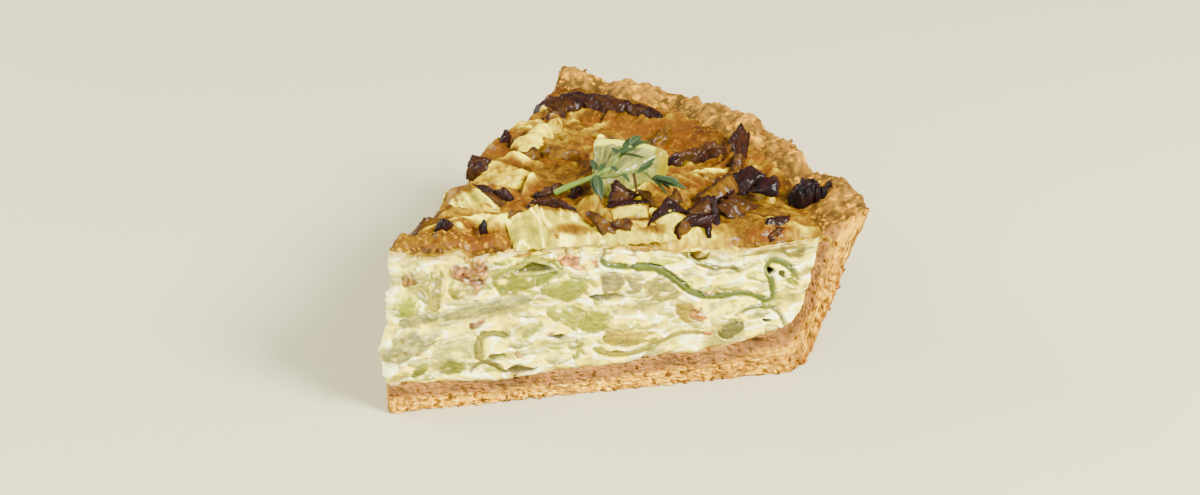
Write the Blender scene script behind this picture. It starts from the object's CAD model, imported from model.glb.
"""Looks of a slice of leek and onion quiche with roasted onion petals, lemon and thyme.

Shapes are worked out in the slice's own millimetres: x runs along the front cut face from the tip of
the slice, y away from that face and z up from the plate. SliceForm.world puts them in the frame.
"""
import logging
import math
from dataclasses import dataclass
from enum import Enum

import bmesh
import bpy
import numpy as np
from bpy.types import Material, Mesh, Node, NodeSocket, NodeTree, Object
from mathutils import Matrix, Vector


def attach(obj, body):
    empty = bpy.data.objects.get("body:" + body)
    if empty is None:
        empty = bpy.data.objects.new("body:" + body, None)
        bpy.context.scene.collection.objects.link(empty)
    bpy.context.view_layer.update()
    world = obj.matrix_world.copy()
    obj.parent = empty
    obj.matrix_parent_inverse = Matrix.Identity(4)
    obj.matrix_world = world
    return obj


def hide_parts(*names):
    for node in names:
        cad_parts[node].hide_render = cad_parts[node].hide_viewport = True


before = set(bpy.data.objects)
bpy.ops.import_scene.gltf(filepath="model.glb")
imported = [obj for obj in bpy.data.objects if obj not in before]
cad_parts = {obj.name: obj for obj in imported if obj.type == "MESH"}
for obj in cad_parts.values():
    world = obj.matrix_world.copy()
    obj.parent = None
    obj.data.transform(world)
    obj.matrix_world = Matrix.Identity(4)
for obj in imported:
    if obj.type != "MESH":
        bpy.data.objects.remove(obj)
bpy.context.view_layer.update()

log = logging.getLogger("quiche")
MM = 0.001
BODY = "root"
Array = np.ndarray


# ---------------------------------------------------------------- colour, noise and small helpers

NEUTRAL_SEEN = (9, 18, 32, 51, 76, 96, 118, 136, 153, 170, 184, 197, 207, 217, 227, 237, 245)
NEUTRAL_LIGHT = (
    0.005, 0.01, 0.02, 0.04, 0.08, 0.12, 0.18, 0.25, 0.35, 0.5, 0.7, 1.0, 1.4, 2.0, 3.0, 5.0, 8.0)
SEEN_MIX = np.array([[0.7469, 0.2092, 0.0439], [0.1171, 0.9148, -0.0319], [0.0546, 0.1555, 0.7899]])
LIGHT_MIX = np.array([[1.4022, -0.3437, -0.0585], [-0.1493, 1.2809, -0.1316], [-0.0475, -0.1952, 1.2427]])
LIGHT_LEVEL = 6.0


def paint(red: float, green: float, blue: float) -> Array:
    """Works out the paint that looks a given colour in this studio's light.

    Args:
        red, green, blue: the colour as it should be seen, 0 to 255.

    Returns:
        The linear colour for a shader, three numbers.
    """
    seen = np.array([red, green, blue], float)
    seen -= np.array([2.0, 7.0, 24.0]) * (1 - seen / 255)
    seen *= min(1.0, 240.0 / seen.max())
    level = np.clip(SEEN_MIX @ seen, 6.0, 241.0)
    light = np.exp(np.interp(level, NEUTRAL_SEEN, np.log(NEUTRAL_LIGHT)))
    return np.clip(LIGHT_MIX @ light / LIGHT_LEVEL, 0.003, 0.92)


def ease(low: float, high: float, value: Array) -> Array:
    """Rises smoothly from 0 at low to 1 at high."""
    share = np.clip((value - low) / (high - low), 0.0, 1.0)
    return share * share * (3 - 2 * share)


def mix(first: Array, second: Array, share: Array) -> Array:
    """Blends two colours, or two fields of colour, point by point."""
    share = np.asarray(share)[..., None]
    return first * (1 - share) + second * share


def coats(base: tuple | Array, *layers: tuple) -> Array:
    """Lays coats over a base, each given as the colour to be seen and its share at each point."""
    tint = paint(*base) if isinstance(base, tuple) else base
    for colour, share in layers:
        tint = mix(tint, paint(*colour), share)
    return tint


def spots(*parts: Array) -> Array:
    """Stacks up to three coordinates as points, with 0 for those left out."""
    parts = np.broadcast_arrays(*parts, *[0.0] * (3 - len(parts)))
    return np.stack(parts, axis=-1).astype(float)


def follow(table: tuple, value: Array) -> Array:
    """The value read off a table of pairs, straight between them."""
    return np.interp(value, *zip(*table))


def sheet(first: tuple, second: tuple) -> list[Array]:
    """Two grids of values, each spread from a low to a high value in a number of places."""
    return np.meshgrid(np.linspace(*first), np.linspace(*second), indexing="ij")


def hill(*ways: Array) -> Array:
    """A smooth hill, 1 high where all the given values are 0."""
    return np.exp(-sum(way**2 for way in ways))


def way_along(line: Array) -> Array:
    """How far along a line of points each of them lies."""
    return np.concatenate([[0], np.cumsum(np.linalg.norm(np.diff(line, axis=0), axis=1))])


def lap(counts: tuple) -> Array:
    """Shares of the way round a loop, from 0 to 4, for four sides with so many parts each."""
    return np.concatenate([
        i + np.linspace(0, 1, n + (i == 3), endpoint=i == 3) for i, n in enumerate(counts)])


def placed(name: str, data: bpy.types.ID) -> Object:
    """An object in the scene, made from its data."""
    piece = bpy.data.objects.new(name, data)
    bpy.context.scene.collection.objects.link(piece)
    return piece


class Noise:
    """Seeded noise over points in millimetres, the same on each run."""

    def __init__(self, seed: int) -> None:
        """Args: seed: which pattern to make."""
        rng = np.random.default_rng(seed)
        self.order = rng.permutation(256)
        ways = rng.normal(size=(256, 3))
        self.ways = ways / np.linalg.norm(ways, axis=1)[:, None]
        self.seats = rng.random((256, 3))

    def _entry(self, cell: Array) -> Array:
        """The table entry of each whole-numbered cell."""
        o = self.order
        return o[(o[(o[cell[..., 0] & 255] + cell[..., 1]) & 255] + cell[..., 2]) & 255]

    def smooth(self, points: Array, size: float | tuple[float, float, float]) -> Array:
        """Gradient noise from about -1 to 1, with features of the given size."""
        scaled = points / np.asarray(size, float)
        cell = np.floor(scaled).astype(np.int64)
        part = scaled - cell
        blend = part * part * part * (part * (part * 6 - 15) + 10)
        total = np.zeros(points.shape[:-1])
        for corner in np.ndindex(2, 2, 2):
            corner = np.array(corner)
            slope = ((part - corner) * self.ways[self._entry(cell + corner)]).sum(-1)
            total += slope * np.where(corner, blend, 1 - blend).prod(-1)
        return total * 1.7

    def __call__(self, points: Array, size: float, layers: int) -> Array:
        """Smooth noise with finer layers on top of it."""
        total = sum(self.smooth(points + 37.7 * i, size / 2**i) / 2**i for i in range(layers))
        return total / (2 - 0.5 ** (layers - 1)) * 1.5

    def cells(self, points: Array, size: float) -> tuple[Array, Array]:
        """Distances, in cells, to the nearest and second nearest of scattered seats."""
        scaled = points / size
        cell = np.floor(scaled).astype(np.int64)
        near = np.full(points.shape[:-1], 9.0)
        second = near.copy()
        for step in np.ndindex(3, 3, 3):
            other = cell + np.array(step) - 1
            gap = np.linalg.norm(other + self.seats[self._entry(other)] - scaled, axis=-1)
            second = np.minimum(second, np.maximum(near, gap))
            near = np.minimum(near, gap)
        return near, second


def rounded_path(points: tuple, closed: bool, parts: int) -> Array:
    """A smooth line through the points, with so many parts between each two."""
    given = np.array(points, float)
    if closed:
        given = np.vstack([given[-1:], given, given[:2]])
    else:
        given = np.vstack([2 * given[0] - given[1], given, 2 * given[-1] - given[-2]])
    share = np.linspace(0, 1, parts, endpoint=False)[:, None]
    line = np.vstack([
        0.5 * (2 * b + (c - a) * share + (2 * a - 5 * b + 4 * c - d) * share**2
               + (3 * b - a - 3 * c + d) * share**3)
        for a, b, c, d in zip(given, given[1:], given[2:], given[3:])])
    return line if closed else np.vstack([line, given[-2]])


def to_path(places: Array, path: Array) -> tuple[Array, Array]:
    """Distance from each place to a line of points, and the share of its length where that is."""
    start, way = path[:-1], np.diff(path, axis=0)
    lengths = np.maximum(np.linalg.norm(way, axis=1), 1e-9)
    behind = np.concatenate([[0], np.cumsum(lengths)])
    best, share = np.full(len(places), 1e9), np.zeros(len(places))
    for i in range(len(way)):
        along = np.clip((places - start[i]) @ way[i] / lengths[i] ** 2, 0, 1)
        gap = np.linalg.norm(places - start[i] - along[:, None] * way[i], axis=1)
        closer = gap < best
        best[closer] = gap[closer]
        share[closer] = (behind[i] + along[closer] * lengths[i]) / behind[-1]
    return best, share


def within(places: Array, outline: Array) -> Array:
    """True where a place lies inside a closed outline."""
    inside = np.zeros(len(places), bool)
    x, y = places[:, 0], places[:, 1]
    for (x0, y0), (x1, y1) in zip(outline, np.roll(outline, -1, axis=0)):
        if y0 == y1:
            continue
        crosses = (y0 > y) != (y1 > y)
        inside ^= crosses & (x < (x1 - x0) * (y - y0) / (y1 - y0) + x0)
    return inside


# ---------------------------------------------------------------- the slice's form and its meshes


class Side(Enum):
    """The two cut faces."""

    FRONT = "front"
    BACK = "back"


@dataclass(frozen=True)
class SliceForm:
    """Sizes that the pastry and the filling share, in millimetres.

    Each table gives a height or a drop at a distance from the tip, and the lean at a height.
    """

    angle: float = math.radians(58.5)
    tip_round: float = 0.8
    middle: tuple[float, float, float] = (52.892, 44.764, 0.0)
    gold_line: tuple = (
        (0, 37.6), (4.2, 37.7), (11.1, 37), (16.4, 38), (19.4, 35.6), (25.7, 36.8), (34.2, 37.5),
        (38.4, 36.9), (46.9, 37.3), (55.6, 35.2), (62, 33.4), (66, 33.7), (68.7, 33.6), (72, 32.9),
        (77.5, 32.4), (86.3, 33.4), (96, 33.9))
    band: tuple = (
        (0, 3.2), (30, 3), (50, 2.7), (62, 3.2), (66, 1.9), (70, 1.6), (74, 2.3), (80, 2.2), (90, 1.1),
        (97, 0.8))
    back_dips: tuple = (
        (0, 0), (5, 0.6), (9, 2.2), (20, 2.6), (23, 4.6), (29, 5), (32, 3), (34.5, 1), (36, 1.4),
        (39, 4.2), (44, 4.8), (46.5, 1.4), (49, 0))
    tip_lean: tuple = (
        (7, 0), (12, -0.2), (15.5, -0.5), (18, 0.1), (21.5, 1.5), (25, 1.3), (28.5, 1.9), (31.5, 2.7),
        (36, 2.7), (41.5, 3.8))

    @property
    def tip_start(self) -> float:
        """Where the front face leaves the rounded tip."""
        return self.tip_round / math.tan(self.angle / 2)

    @property
    def inward(self) -> Array:
        """The way from the tip along the middle of the slice."""
        return np.array([math.cos(self.angle / 2), math.sin(self.angle / 2), 0.0])

    def world(self, points: Array) -> Array:
        """Slice millimetres as metres in the frame."""
        return (points - self.middle) * MM

    def from_back(self, x: Array, y: Array) -> Array:
        """Distance of places from the back cut face."""
        return x * math.sin(self.angle) - y * math.cos(self.angle)

    def face(self, side: Side, along: Array, out: Array, up: Array) -> Array:
        """Points on a cut face.

        Args:
            side: which cut face.
            along: distance from the tip.
            out: how far each point stands out of the face.
            up: height.

        Returns:
            The points in slice millimetres.
        """
        turn, way = (0.0, 1.0) if side is Side.FRONT else (self.angle, -1.0)
        x = along * math.cos(turn) + way * out * math.sin(turn)
        y = along * math.sin(turn) - way * out * math.cos(turn)
        return spots(x, y, up)

    def lean(self, points: Array) -> Array:
        """The points with the filling's tip leaned back, as a slice does when it is lifted out."""
        reach = points[..., 0] * self.inward[0] + points[..., 1] * self.inward[1]
        shift = follow(self.tip_lean, points[..., 2]) * ease(17, 0, reach)
        return points + shift[..., None] * self.inward

    def gold_height(self, side: Side, along: Array) -> Array:
        """Height of the lower edge of the browned skin on a cut face."""
        if side is Side.FRONT:
            return follow(self.gold_line, along)
        return 37.6 - 3.9 * ease(62, 94, along) + 0.5 * np.sin(along / 5.3) - follow(self.back_dips, along)

    def top_height(self, x: Array, y: Array) -> Array:
        """Height of the browned top before its lumps."""
        reach = np.hypot(x, y)
        inner = 40.6 - 4.4 * ease(58, 92, reach) - 1.6 * ease(86, 96, reach)
        inner = inner + 4 * ease(82, 96, reach) * ease(0.16, 0.4, np.arctan2(y, x))
        edge = self.gold_height(Side.FRONT, x) + follow(self.band, x)
        front_share = np.exp(-np.maximum(y, 0) / 8.0)
        back_share = np.exp(-np.maximum(self.from_back(x, y), 0) / 3.0)
        return inner * (1 - front_share) + edge * front_share - (1.1 - 0.8 * ease(70, 95, reach)) * back_share


FORM = SliceForm()


class Shape:
    """Points, faces and point values of one piece, gathered in slice millimetres."""

    def __init__(self) -> None:
        """Starts empty."""
        self.points: list[Array] = []
        self.tints: list[Array] = []
        self.weaves: list[Array] = []
        self.faces: list = []
        self.count = 0

    def add(self, points: Array, tint: Array, weave: Array | None = None) -> Array:
        """Adds points.

        Args:
            points: an array of points of any shape.
            tint: linear colour of each.
            weave: a direction-following coordinate for each, for layered finishes.

        Returns:
            The index of each point, in the same shape.
        """
        shape = points.shape[:-1]
        size = int(np.prod(shape))
        self.points.append(points.reshape(size, 3))
        self.tints.append(np.broadcast_to(tint, (*shape, 3)).reshape(size, 3))
        weave = points if weave is None else weave
        self.weaves.append(np.broadcast_to(weave, (*shape, 3)).reshape(size, 3))
        index = np.arange(self.count, self.count + size).reshape(shape)
        self.count += size
        return index

    def grid(self, index: Array) -> None:
        """Covers a grid of points with four-sided faces."""
        quads = np.stack([index[:-1, :-1], index[1:, :-1], index[1:, 1:], index[:-1, 1:]], -1)
        self.faces.extend(quads.reshape(-1, 4).tolist())

    def belt(self, rings: Array) -> None:
        """Covers rings of points, each closed on itself, with faces."""
        self.grid(np.concatenate([rings, rings[:, :1]], axis=1))

    def hang(self, edge: Array, rings: Array, tints: Array) -> Array:
        """Hangs rings of points from an edge, and gives the last ring."""
        index = self.add(rings, tints)
        self.belt(np.vstack([edge[None], index]))
        return index[-1]

    def tube(self, points: Array, tint: Array) -> None:
        """Adds rings of points as a closed tube with capped ends."""
        index = self.add(points, tint)
        self.belt(index)
        self.faces += [index[0].tolist(), index[-1, ::-1].tolist()]

    @staticmethod
    def rim_of(index: Array) -> Array:
        """The points round the edge of a grid, each once."""
        return np.concatenate([index[:-1, 0], index[-1, :-1], index[:0:-1, -1], index[0, :0:-1]])

    def stitch(self, first: Array, first_share: Array, second: Array, second_share: Array) -> None:
        """Joins two lines of points, each with its own spacing, by a strip of triangles."""
        i = j = 0
        while i < len(first) - 1 or j < len(second) - 1:
            step_first = j == len(second) - 1 or (
                i < len(first) - 1 and first_share[i + 1] <= second_share[j + 1])
            if step_first:
                self.faces.append([int(first[i]), int(first[i + 1]), int(second[j])])
                i += 1
            else:
                self.faces.append([int(first[i]), int(second[j + 1]), int(second[j])])
                j += 1

    def close_sunk(self, loop: Array, drop: float) -> None:
        """Closes a loop of points by a flat face that lies lower, out of sight inside the slice."""
        edge = np.vstack(self.points)[loop]
        inner = edge + 0.06 * (edge.mean(0) - edge)
        inner[:, 2] = edge[:, 2].min() - drop
        self.faces.append(self.hang(loop, inner[None], np.vstack(self.tints)[loop][None]).tolist())

    def finish(self, name: str, material: Material, leans: bool = False) -> Object:
        """Makes the object.

        Args:
            name: the object's name.
            material: its finish.
            leans: whether it goes with the filling's leaning tip.

        Returns:
            The object, closed, facing outwards and shaded smooth.
        """
        mesh = bpy.data.meshes.new(name)
        places = np.vstack(self.points)
        mesh.from_pydata(FORM.world(FORM.lean(places) if leans else places).tolist(), [], self.faces)
        tint = mesh.attributes.new("tint", "FLOAT_COLOR", "POINT")
        colour = np.ones((self.count, 4), np.float32)
        colour[:, :3] = np.vstack(self.tints)
        tint.data.foreach_set("color", colour.ravel())
        weave = mesh.attributes.new("weave", "FLOAT_VECTOR", "POINT")
        weave.data.foreach_set("vector", (np.vstack(self.weaves) * MM).astype(np.float32).ravel())
        made = bmesh.new()
        made.from_mesh(mesh)
        bmesh.ops.recalc_face_normals(made, faces=made.faces)
        made.to_mesh(mesh)
        made.free()
        mesh.materials.append(material)
        mesh.shade_smooth()
        return placed(name, mesh)


def settle(piece: Object, slot: str, *nodes: str) -> Object:
    """Rides a finished piece on the slice and names its slot and the nodes that it stands for."""
    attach(piece, BODY)
    if nodes:
        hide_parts(*nodes)
    log.info("%s: %d faces", piece.name, len(piece.data.polygons) if piece.type == "MESH" else 0)
    return piece


# ---------------------------------------------------------------- finishes


def grow(tree: NodeTree, kind: str, feeds: dict | None = None, **settings: object) -> Node:
    """Adds a node to a tree.

    Args:
        tree: the tree.
        kind: the node's type.
        feeds: for inputs by name or number, the socket to link or the value to set.
        settings: the node's own properties.

    Returns:
        The node.
    """
    node = tree.nodes.new(kind)
    for name, value in settings.items():
        setattr(node, name, value)
    for name, value in (feeds or {}).items():
        if isinstance(value, NodeSocket):
            tree.links.new(value, node.inputs[name])
        else:
            node.inputs[name].default_value = value
    return node


@dataclass(frozen=True)
class Finish:
    """A food surface: the piece's own tint, broken up by grain, with fine bumps.

    Grain and bump are each a size in millimetres and a depth, and so are a second bump's size and the
    reach of the light inside. A weave stretches the grain along the piece's own weave.
    """

    name: str
    rough: float
    grain: tuple[float, float]
    bump: tuple[float, float]
    glow: float
    reach: tuple[float, float, float]
    specular: float
    wide_bump: float = 0.0
    swing: float = 0.1
    coat: float = 0.0
    coat_rough: float = 0.15
    weave: tuple = ()

    def build(self) -> Material:
        """Makes the node material."""
        made = bpy.data.materials.new(self.name)
        made.use_nodes = True
        tree = made.node_tree
        if self.weave:
            place = grow(tree, "ShaderNodeAttribute", attribute_name="weave").outputs["Vector"]
        else:
            place = grow(tree, "ShaderNodeTexCoord").outputs["Object"]
        stretch = grow(tree, "ShaderNodeMapping", {"Scale": self.weave or (1, 1, 1), "Vector": place})

        def noise(size: float, detail: float, rough: float = 0.6) -> NodeSocket:
            """A noise texture with features of the given size."""
            return grow(tree, "ShaderNodeTexNoise", {
                "Scale": 1.0 / (size * MM), "Detail": detail, "Roughness": rough,
                "Vector": stretch.outputs["Vector"]}).outputs["Fac"]

        def ranged(source: NodeSocket, middle: float, swing: float) -> NodeSocket:
            """Maps the middle of a noise to a range."""
            return grow(tree, "ShaderNodeMapRange", {
                "From Min": 0.3, "From Max": 0.7, "To Min": middle - swing, "To Max": middle + swing,
                "Value": source}).outputs["Result"]

        def bump(source: NodeSocket, depth: float, over: dict) -> NodeSocket:
            """Bumps of a depth, over other bumps where they are given."""
            return grow(tree, "ShaderNodeBump", {
                "Strength": 1.0, "Distance": depth * MM, "Height": source, **over}).outputs["Normal"]

        grain = noise(self.grain[0], 4.0)
        tone = grow(tree, "ShaderNodeCombineColor", {
            channel: ranged(grain, 1, self.grain[1] * extra)
            for channel, extra in (("Red", 0.6), ("Green", 0.85), ("Blue", 1.15))})
        tint = grow(tree, "ShaderNodeAttribute", attribute_name="tint")
        blend = grow(tree, "ShaderNodeMix", {"Factor": 1.0}, data_type="RGBA", blend_type="MULTIPLY")
        tree.links.new(tint.outputs["Color"], blend.inputs["A"])
        tree.links.new(tone.outputs["Color"], blend.inputs["B"])
        rough = noise(self.grain[0] * 2.3, 3.0)
        wide = {}
        if self.wide_bump:
            wide["Normal"] = bump(noise(self.wide_bump, 3.0), self.bump[1] * 2.5, {})
        shader = tree.nodes["Principled BSDF"]
        for name, source in (
                ("Base Color", blend.outputs["Result"]), ("Roughness", ranged(rough, self.rough, self.swing)),
                ("Normal", bump(noise(self.bump[0], 5.0, 0.65), self.bump[1], wide))):
            tree.links.new(source, shader.inputs[name])
        for name, value in (
                ("Subsurface Weight", self.glow), ("Subsurface Scale", 1.0), ("Coat Weight", self.coat),
                ("Subsurface Radius", [reach * MM for reach in self.reach]),
                ("Coat Roughness", self.coat_rough), ("Specular IOR Level", self.specular)):
            shader.inputs[name].default_value = value
        return made


PASTRY_CUT = Finish(
    "pastry_cut", rough=0.8, grain=(0.9, 0.22), bump=(0.5, 0.14), wide_bump=1.6, glow=0.12,
    reach=(0.7, 0.4, 0.2), specular=0.08, weave=(0.55, 1.5, 1.0))
PASTRY_CRUMB = Finish(
    "pastry_crumb", rough=0.8, grain=(0.5, 0.2), bump=(0.4, 0.08), glow=0.12, reach=(0.7, 0.4, 0.2),
    specular=0.08)
CUSTARD = Finish(
    "custard", rough=0.36, grain=(1.4, 0.04), bump=(0.5, 0.04), wide_bump=1.8, glow=0.2,
    reach=(0.9, 0.7, 0.4), coat=0.35, coat_rough=0.08, specular=0.1)
BROWNED = Finish(
    "browned_top", rough=0.48, swing=0.12, grain=(1.0, 0.25), bump=(0.55, 0.10), wide_bump=1.9, glow=0.15,
    reach=(1.2, 0.6, 0.2), coat=0.07, coat_rough=0.06, specular=0.02)
ROASTED = Finish(
    "roasted_onion", rough=0.4, swing=0.12, grain=(0.9, 0.2), bump=(0.45, 0.05), wide_bump=1.5, glow=0.25,
    reach=(1.2, 0.8, 0.3), coat=0.06, coat_rough=0.08, specular=0.03)
LEMON = Finish(
    "lemon", rough=0.25, swing=0.06, grain=(0.8, 0.06), bump=(1.2, 0.03), glow=0.3, reach=(1.1, 1.0, 0.5),
    coat=0.3, coat_rough=0.06, specular=0.1)
THYME = Finish(
    "thyme", rough=0.45, swing=0.08, grain=(0.6, 0.2), bump=(0.3, 0.03), glow=0.15, reach=(0.4, 0.6, 0.2),
    specular=0.12)


# ---------------------------------------------------------------- the pastry case


@dataclass
class PastryCase:
    """The pastry: a flat base and a flared wall with a lumpy rim, torn into flakes at both cuts.

    The section is given as pairs of places, one on the outside of the pastry and one on its inside,
    from the tip along the base and up the wall, each as distance from the tip and height.
    """

    pairs: tuple = (
        (0.8, 0, 0.8, 7.2), (10, 0, 9.8, 7.4), (18.4, 0, 18.4, 6.6), (25, 0, 25, 6.2), (34, 0, 33.7, 6.8),
        (43, 0, 42.5, 6.7), (52, 0, 51.4, 7.2), (61, 0, 59.5, 8.1), (70, 0, 67.5, 8.1), (78, 0, 74.5, 8.6),
        (84, 0, 79.5, 10), (88.4, 0, 83.2, 10.8), (91.3, 0.3, 86.2, 11.7), (93.3, 1.6, 88.7, 12.9),
        (94.6, 4, 90.4, 14.6), (95.6, 7, 91.6, 16.8), (97.2, 11.6, 92.5, 19.6), (99.2, 17.6, 93.3, 23.4),
        (101.2, 25, 94, 27.6), (103, 32.2, 94.6, 31.2), (104.4, 38.4, 95, 33.8))
    cut_step: float = 0.25
    cut_layers: int = 48
    sweep_steps: int = 190
    depth: float = 0.8
    rim_bulge: float = 1.1
    lobes: int = 6
    rim_rise: tuple = (
        (0, 1.2), (5, 2), (9, 0.8), (16, 0.4), (20, 1.2), (24, 3.4), (29, 4.2), (33, 4.6), (36, 1.6),
        (40, 1.8), (44, 3.8), (49, 3.6), (53, 2), (56, 2.8), (59, 3))
    noise: Noise = Noise(11)

    def __post_init__(self) -> None:
        """Measures the section once."""
        lines = rounded_path(self.pairs, False, 8)
        self.outer, self.inner = lines[:, :2], lines[:, 2:]
        far = way_along((self.outer + self.inner) / 2)
        self.length = float(far[-1])
        self.share = far / self.length

    def section(self, along: Array, through: Array) -> Array:
        """Places in the section.

        Args:
            along: share of the way from the tip to the rim.
            through: 0 on the outside of the pastry, 1 on its inside.

        Returns:
            (distance from the tip, height) of each.
        """
        ends = [np.stack([np.interp(along, self.share, line[:, i]) for i in (0, 1)], -1)
                for line in (self.outer, self.inner)]
        rise = self.rim_bulge * np.sin(np.pi * through) ** 0.8 * ease(0.93, 1, along)
        return mix(*ends, through) + rise[..., None] * np.array([0.35, 0.94])

    def swell(self, places: Array, along: Array, through: Array) -> Array:
        """How far the pastry's skin stands out at places near its outside or its rim.

        Args:
            places: points in slice millimetres, unswollen.
            along: share of the way to the rim.
            through: share of the way to the inside.

        Returns:
            A shift for each point.
        """
        n = self.noise
        turn = np.arctan2(places[..., 1], places[..., 0])
        rim, crest = ease(0.86, 0.99, along), ease(0.93, 1, along)
        outside = (1 - through) ** 4
        wall = ease(0.62, 0.75, along) * (1 - rim)
        lobe = np.cos(self.lobes * 2 * np.pi * turn / FORM.angle + 0.9)
        lumps = 0.75 * lobe * ease(0.02, 0.12, turn) + 1.5 * n(places, 9, 3) + 0.75 * n(places + 50, 2.4, 3)
        rise = follow(self.rim_rise, np.degrees(turn)) * crest
        up = rim * ease(0.985, 1, along) * lumps - 0.35 * rim + rise
        side = outside * (wall * (0.35 * n(places, 6, 3) + 0.2 * n(places, 1.7, 2))
                          + rim * (0.45 * n(places, 5, 3) + 0.3 * n(places + 50, 1.8, 3))
                          + 0.06 * n(places, 1, 2))
        low = outside * (1 - ease(0.6, 0.7, along)) * 0.7 * n(places, 1.8, 3)
        flare = 1.7 * ease(14, 7, np.degrees(turn)) * crest * (1 - 0.5 * through)
        reach = np.maximum(np.hypot(places[..., 0], places[..., 1]), 1e-6)
        shift = places / reach[..., None] * (side + 0.2 * (up - rise) + flare)[..., None]
        shift[..., 2] = up + np.maximum(low, -places[..., 2] - 0.02)
        return shift

    def skin_tint(self, places: Array, along: Array, through: Array) -> Array:
        """Colour of the baked outside, the rim and the underside."""
        n = self.noise
        mottle = n(places, 7, 4)
        fine = n(places + 20, 1.6, 3)
        wall = coats((224, 190, 136), ((200, 156, 102), ease(-0.8, 1, 0.6 * mottle + 0.9 * fine)))
        rim = coats(
            (212, 172, 114), ((158, 110, 60), ease(-0.6, 0.6, 0.7 * mottle + 0.9 * fine)),
            ((174, 120, 50), 0.5 * ease(0.5, 1, through)),
            ((238, 208, 152), 0.7 * ease(0.3, 0.6, n(places + 31, 1.3, 2))))
        tint = mix(wall, rim, ease(0.9, 0.99, along))
        return coats(tint, ((222, 188, 134), 1 - ease(0.55, 0.68, along)))

    def cut_relief(self, along_mm: Array, through_mm: Array, through: Array, salt: float) -> tuple:
        """Flakes and crumbs of a cut.

        Args:
            along_mm: distance along the pastry.
            through_mm: distance from its outside.
            through: share of the way to its inside.
            salt: shifts the pattern, so that the two cuts differ.

        Returns:
            How far each point stands out, and how deep it lies in a crevice, 0 to 1.
        """
        n, place = self.noise, spots(along_mm, through_mm, salt)
        wave = 0.55 * n(place, 7, 3) + 0.1 * n.smooth(place + (0, 0, 60), 1)
        number, part = np.divmod((through_mm + wave) / 0.74, 1)
        leaf = n(spots(along_mm / 2.6, number * 7.31, salt + 9), 1, 3)
        tooth = ease(0, 0.25, part) * ease(1, 0.55, part)
        crumb = n(place + (0, 0, 20), 1.2, 4)
        crack = 1 - np.abs(n.smooth(spots(along_mm / 6, (through_mm + wave) / 0.9, salt + 31), 1)) * 2.2
        flaky = 1 - 0.75 * ease(0.45, 0.62, through + 0.06 * leaf)
        deep = ease(0.72, 0.98, crack) * ease(-0.1, 0.4, n(place + (0, 0, 44), 5, 2))
        gap = (1 - tooth) * ease(-0.1, 0.35, leaf + 0.5 * crumb) * flaky
        pits = ease(0.3, 0.65, -crumb)
        out = flaky * (0.75 * leaf * (0.3 + 0.7 * tooth) + 0.2 * tooth) + 0.34 * crumb
        out = out - 0.7 * deep - 0.35 * pits - 0.25 * gap
        return out, np.clip(0.8 * deep + 0.5 * pits * flaky + 0.55 * gap, 0, 1)

    def cut_tint(self, along_mm: Array, through: Array, crevice: Array, out: Array, salt: float) -> Array:
        """Colour of a cut: golden crumbs outside, a pinkish moist layer by the filling."""
        n = self.noise
        spot = spots(along_mm, through * 7.5, salt + 70)
        patch, fine = n(spot, 5, 3), n(spot + 9, 1.1, 3)
        crumb = coats((238, 212, 160), ((216, 178, 122), ease(-0.5, 0.7, patch + 0.7 * fine)))
        streak = n(spots(along_mm / 6, through * 7.5, salt + 80), 0.8, 3)
        moist = coats(
            (214, 176, 134), ((190, 144, 104), ease(-0.4, 0.6, patch + 0.4 * fine)),
            ((184, 136, 92), 0.5 * ease(0.1, 0.6, streak)), ((226, 196, 158), 0.5 * ease(0.86, 1, through)))
        edge = 0.48 + 0.2 * patch + 0.09 * fine + 0.12 * ease(70, 90, along_mm)
        glaze = ease(84, 92, along_mm) * ease(118, 106, along_mm) * ease(0.22, 0, through)
        return coats(
            mix(crumb, moist, ease(edge - 0.07, edge + 0.07, through)),
            ((250, 234, 194), 0.8 * ease(0.18, 0.5, out)), ((214, 166, 98), 0.6 * ease(0.09, 0, through)),
            ((226, 172, 78), 0.8 * glaze), ((140, 92, 48), 0.75 * crevice))

    def add_cut(self, shape: Shape, side: Side) -> tuple[Array, Array]:
        """Adds one cut of the pastry.

        Args:
            shape: the mesh so far.
            side: which cut.

        Returns:
            The points round its edge, and the share of the loop of each.
        """
        salt = 3.0 if side is Side.FRONT else 140.0
        along, through = sheet((0, 1, int(self.length / self.cut_step) + 1), (0, 1, self.cut_layers + 1))
        place = self.section(along, through)
        thick = np.linalg.norm(self.section(along, along * 0 + 1) - self.section(along, along * 0), axis=-1)
        along_mm, through_mm = along * self.length, through * thick
        relief, crevice = self.cut_relief(along_mm, through_mm, through, salt)
        if side is Side.FRONT:
            torn = hill((place[..., 0] - 82.3) / 2.6, (place[..., 1] - 8.6) / 0.9)
            relief -= 1.5 * torn
            crevice = np.clip(crevice + torn, 0, 1)
        relief -= 0.5 * ease(0.9, 1, through) + 0.15
        flat = FORM.face(side, place[..., 0], relief * 0, place[..., 1])
        points = FORM.face(side, place[..., 0], relief, place[..., 1]) + self.swell(flat, along, through)
        tint = self.cut_tint(along_mm, through, crevice, relief, salt)
        baked = np.maximum(ease(1 - 1.4 / self.length, 1, along), ease(0.06, 0, through))
        tint = mix(tint, self.skin_tint(flat, along, through), baked * 0.8)
        index = shape.add(points, tint, spots(along_mm, through_mm, salt))
        shape.grid(index)
        rows, columns = index.shape
        edge = shape.rim_of(index)
        return np.append(edge, edge[0]), lap((rows - 1, columns - 1) * 2)

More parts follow.
